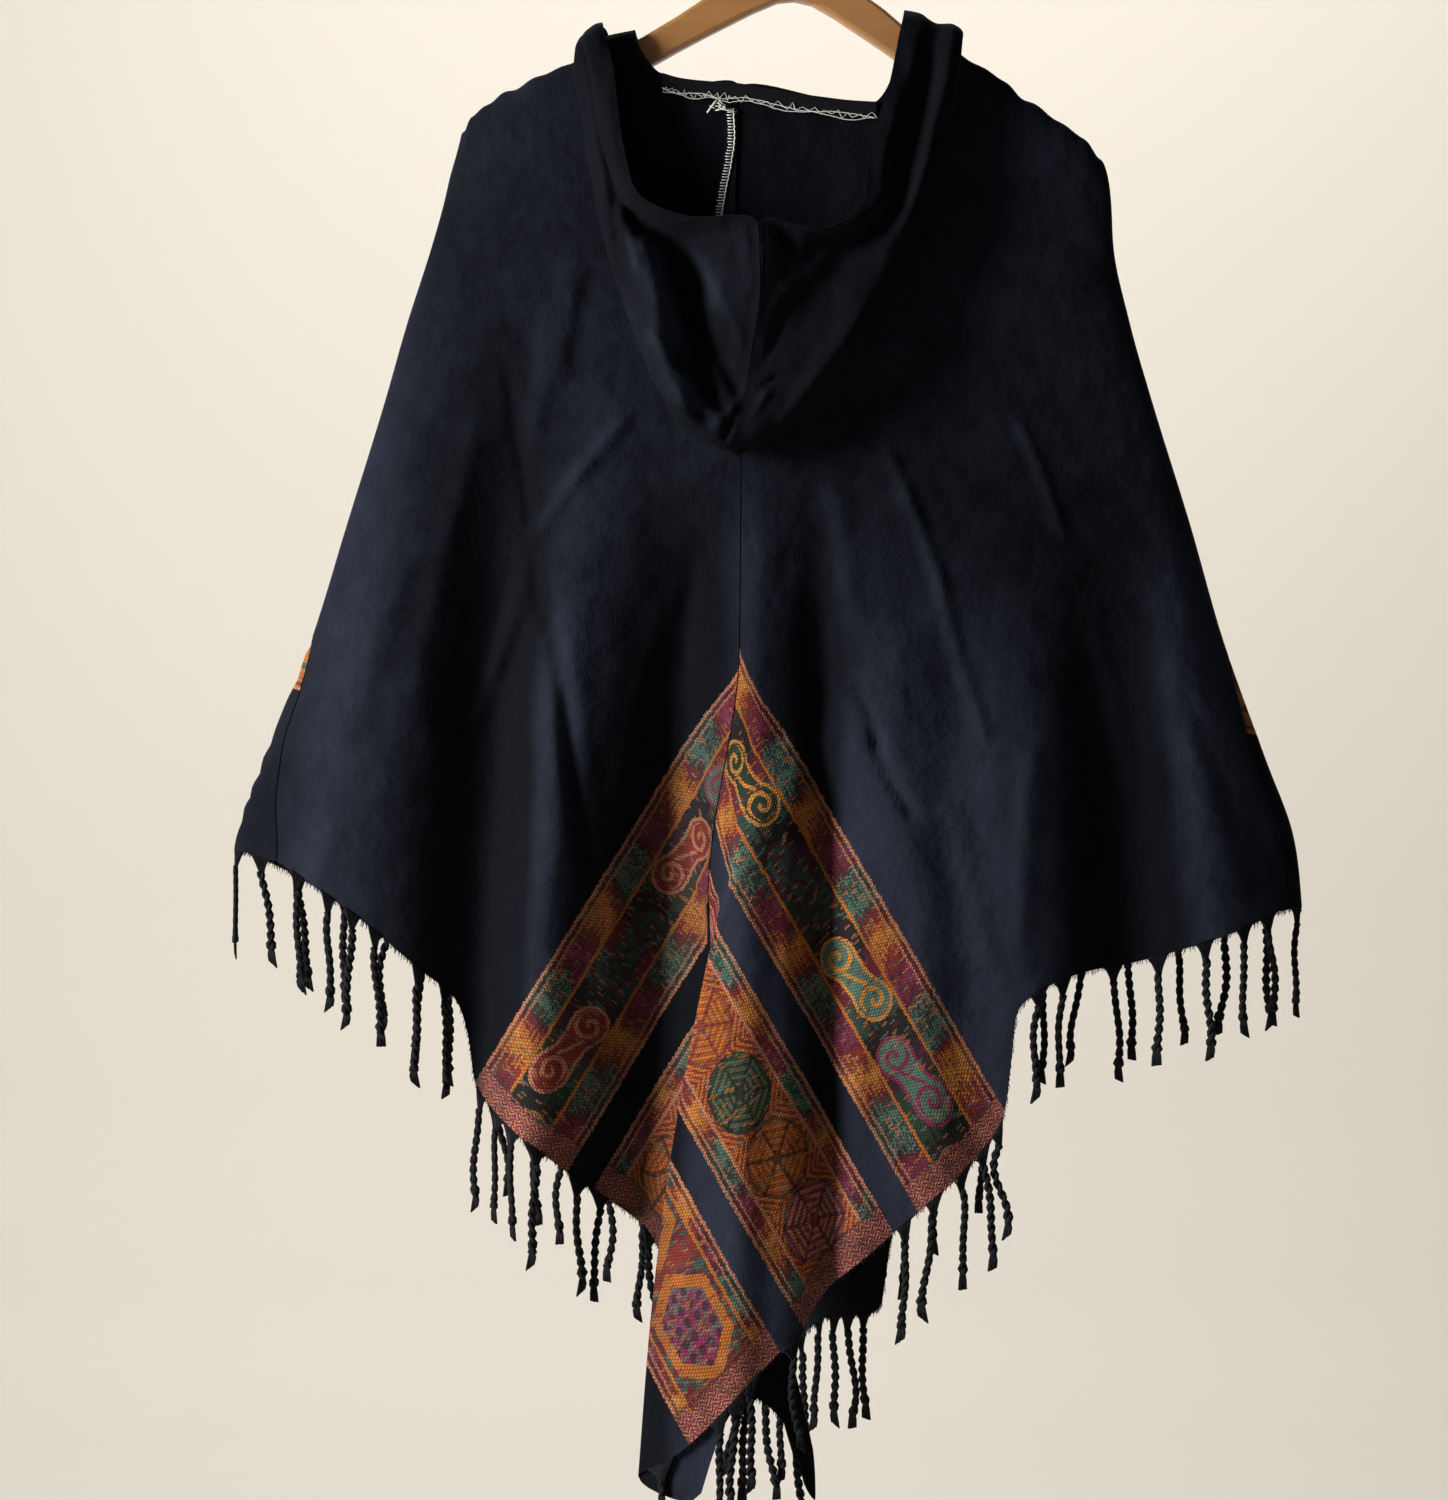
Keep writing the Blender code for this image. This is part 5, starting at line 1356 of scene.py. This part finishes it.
def rope(corners, faces, top, along, rng, length, lean, sway):
    """Two plies twisted round each other, a knot near the end, and a frayed tip."""
    distance = np.linspace(0, length, int(length / ROPE_STEP))
    phase = rng.uniform(0, 6.28)
    bend = rng.uniform(0.6, 1.5)
    swing = np.sin(distance / length * math.pi * bend + phase)
    side_way = lean * distance + sway * swing - sway * math.sin(phase)
    side_way = side_way + 0.8 * np.sin(distance / 9.0 + phase)
    depth_way = 1.5 * np.sin(distance / length * 3 + phase) - 1.5 * math.sin(phase)
    centre = top + along * side_way[:, None] + np.array((0, 1, 0)) * depth_way[:, None]
    centre = centre + np.array((0, 0, 1)) * distance[:, None]
    knot = np.exp(-(((distance - length + 3) / 3.0) ** 2))
    for ply in (0, math.pi):
        turn = distance / ROPE_TWIST * 2 * math.pi + ply + phase
        swell = ROPE_PLY * (0.92 + 0.30 * knot + 0.08 * np.sin(distance * 1.9 + phase))
        offset = along * np.cos(turn)[:, None] + np.array((0, 1, 0)) * np.sin(turn)[:, None]
        tube(corners, faces, centre + offset * (swell * 0.85)[:, None], swell, 5)
    tip = centre[-1]
    skew = rng.uniform(-2.5, 2.5)
    half = BRUSH_ENDS // 2
    for k in range(BRUSH_ENDS):
        spread = (k - half) / half * BRUSH_HALF + rng.uniform(-0.4, 0.4)
        fall = np.array((0, rng.uniform(-1.8, 1.8), BRUSH + skew * spread * 0.35))
        line = [
            tip + along * spread * 0.4 - np.array((0, 0, 2)),
            tip + along * spread * 0.8 + np.array((0, 0, 3.5)),
            tip + along * (spread + skew * 0.6) + fall,
        ]
        tube(corners, faces, line, (0.9, 0.85, 0.6), 4)


for face in (BACK, FRONT):
    for side in (LEFT, RIGHT):
        place = f"{FACE_NAMES[face]}_{SIDE_NAMES[side]}"
        rng = random.Random(40 + 2 * side + face)
        v, points, onward = hem_line(side, face)
        corners, faces = [], []

        def at_hem(value, table_of):
            return np.array([np.interp(value, v, table_of[:, k]) for k in range(3)])

        for value in ROPE_PLACES[face, side]:
            root = at_hem(value, points)
            along = at_hem(value + 4, points) - at_hem(value - 4, points)
            along = unit(np.array((along[0], along[1], 0)))
            lean = rng.uniform(-1, 1) * ROPE_LEAN
            top = root + np.array((0, face * 1.6, KNOT_DROP)) + along * rng.uniform(-1.5, 1.5)
            for k in range(ROOTS):
                spread = (k - HALF_ROOTS) / HALF_ROOTS * GATHER_WIDE * rng.uniform(0.85, 1.1)
                start = at_hem(value + spread, points) - unit(at_hem(value + spread, onward)) * 1.2
                middle = (start + top) / 2 + np.array((0, face * 0.8, -1.0)) + along * rng.uniform(-0.8, 0.8)
                end = top + along * rng.uniform(-1.2, 1.2) + np.array((0, rng.uniform(-0.6, 0.6), 3))
                tube(corners, faces, catmull([start, middle, end], 2), 0.95, 3)
            length = ROPE - KNOT_DROP - BRUSH + rng.uniform(-6, 3)
            rope(corners, faces, top, along, rng, length, lean, rng.uniform(-ROPE_SWAY, ROPE_SWAY))
        # loose ends of warp between the ropes
        reach = v[v <= LOOSE_TO[side]] if face == BACK else v
        for value in np.arange(2, reach[-1] - 2, LOOSE_STEP):
            start = at_hem(value, points)
            way = unit(at_hem(value, onward))
            start = start - way * 0.8 + np.array((0, face * rng.uniform(-0.6, 0.6), 0))
            end = start + way * rng.uniform(1.5, 5.0)
            end = end + np.array((rng.uniform(-1.5, 1.5), rng.uniform(-1, 1), 0))
            bend = (start + end) / 2 + np.array((0.3, 0, 0.2))
            tube(corners, faces, [start, bend, end], (0.35, 0.3, 0.15), 3)
        fringe = thread_piece(f"fringe_{place}_ropes", corners, faces, black_yarn)
        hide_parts(f"fringe_{place}")

# ------------------------------------------------------------------------------------------------ the hanger
# One flat piece of beech, bent to the shoulders' line, rounded over and varnished. A steel wire hook is let
# into its middle.


def wood_material():
    material, tree, shader = new_material(
        "varnished_beech", {"Roughness": 0.38, "Coat Weight": 0.5, "Coat Roughness": 0.18}
    )
    lie = tree.nodes.new("ShaderNodeMapping")
    lie.inputs["Rotation"].default_value = (0, math.radians(31), 0)
    lie.inputs["Scale"].default_value = (6, 60, 60)
    tree.links.new(own_place(tree), lie.inputs["Vector"])
    grain = cloudy(tree, lie.outputs[0], 3.0, 5)
    pores = cloudy(tree, lie.outputs[0], 22.0, 2)
    colour = dyed(tree, grain, (0.27, 0.115, 0.033), (0.39, 0.19, 0.068))
    colour = dyed(tree, (pores - 0.5) * 0.6, colour, (0.17, 0.065, 0.022))
    tree.links.new(colour, shader.inputs["Base Color"])
    set_relief(tree, shader, pores, 0.15, 0.0004)
    return material


def steel_material():
    material, tree, shader = new_material("plated_steel_wire", {"Metallic": 1.0})
    wear = cloudy(tree, own_place(tree), 240, 4)
    colour = dyed(tree, wear, (0.50, 0.50, 0.49), (0.68, 0.68, 0.66))
    tree.links.new(colour, shader.inputs["Base Color"])
    tree.links.new((wear * 0.25 + 0.16).socket, shader.inputs["Roughness"])
    return material


for node, material in (("hanger_wood", wood_material()), ("hanger_hook", steel_material())):
    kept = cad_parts[node]
    if kept.material_slots:
        for slot_of in kept.material_slots:
            slot_of.material = material
    else:
        kept.data.materials.append(material)
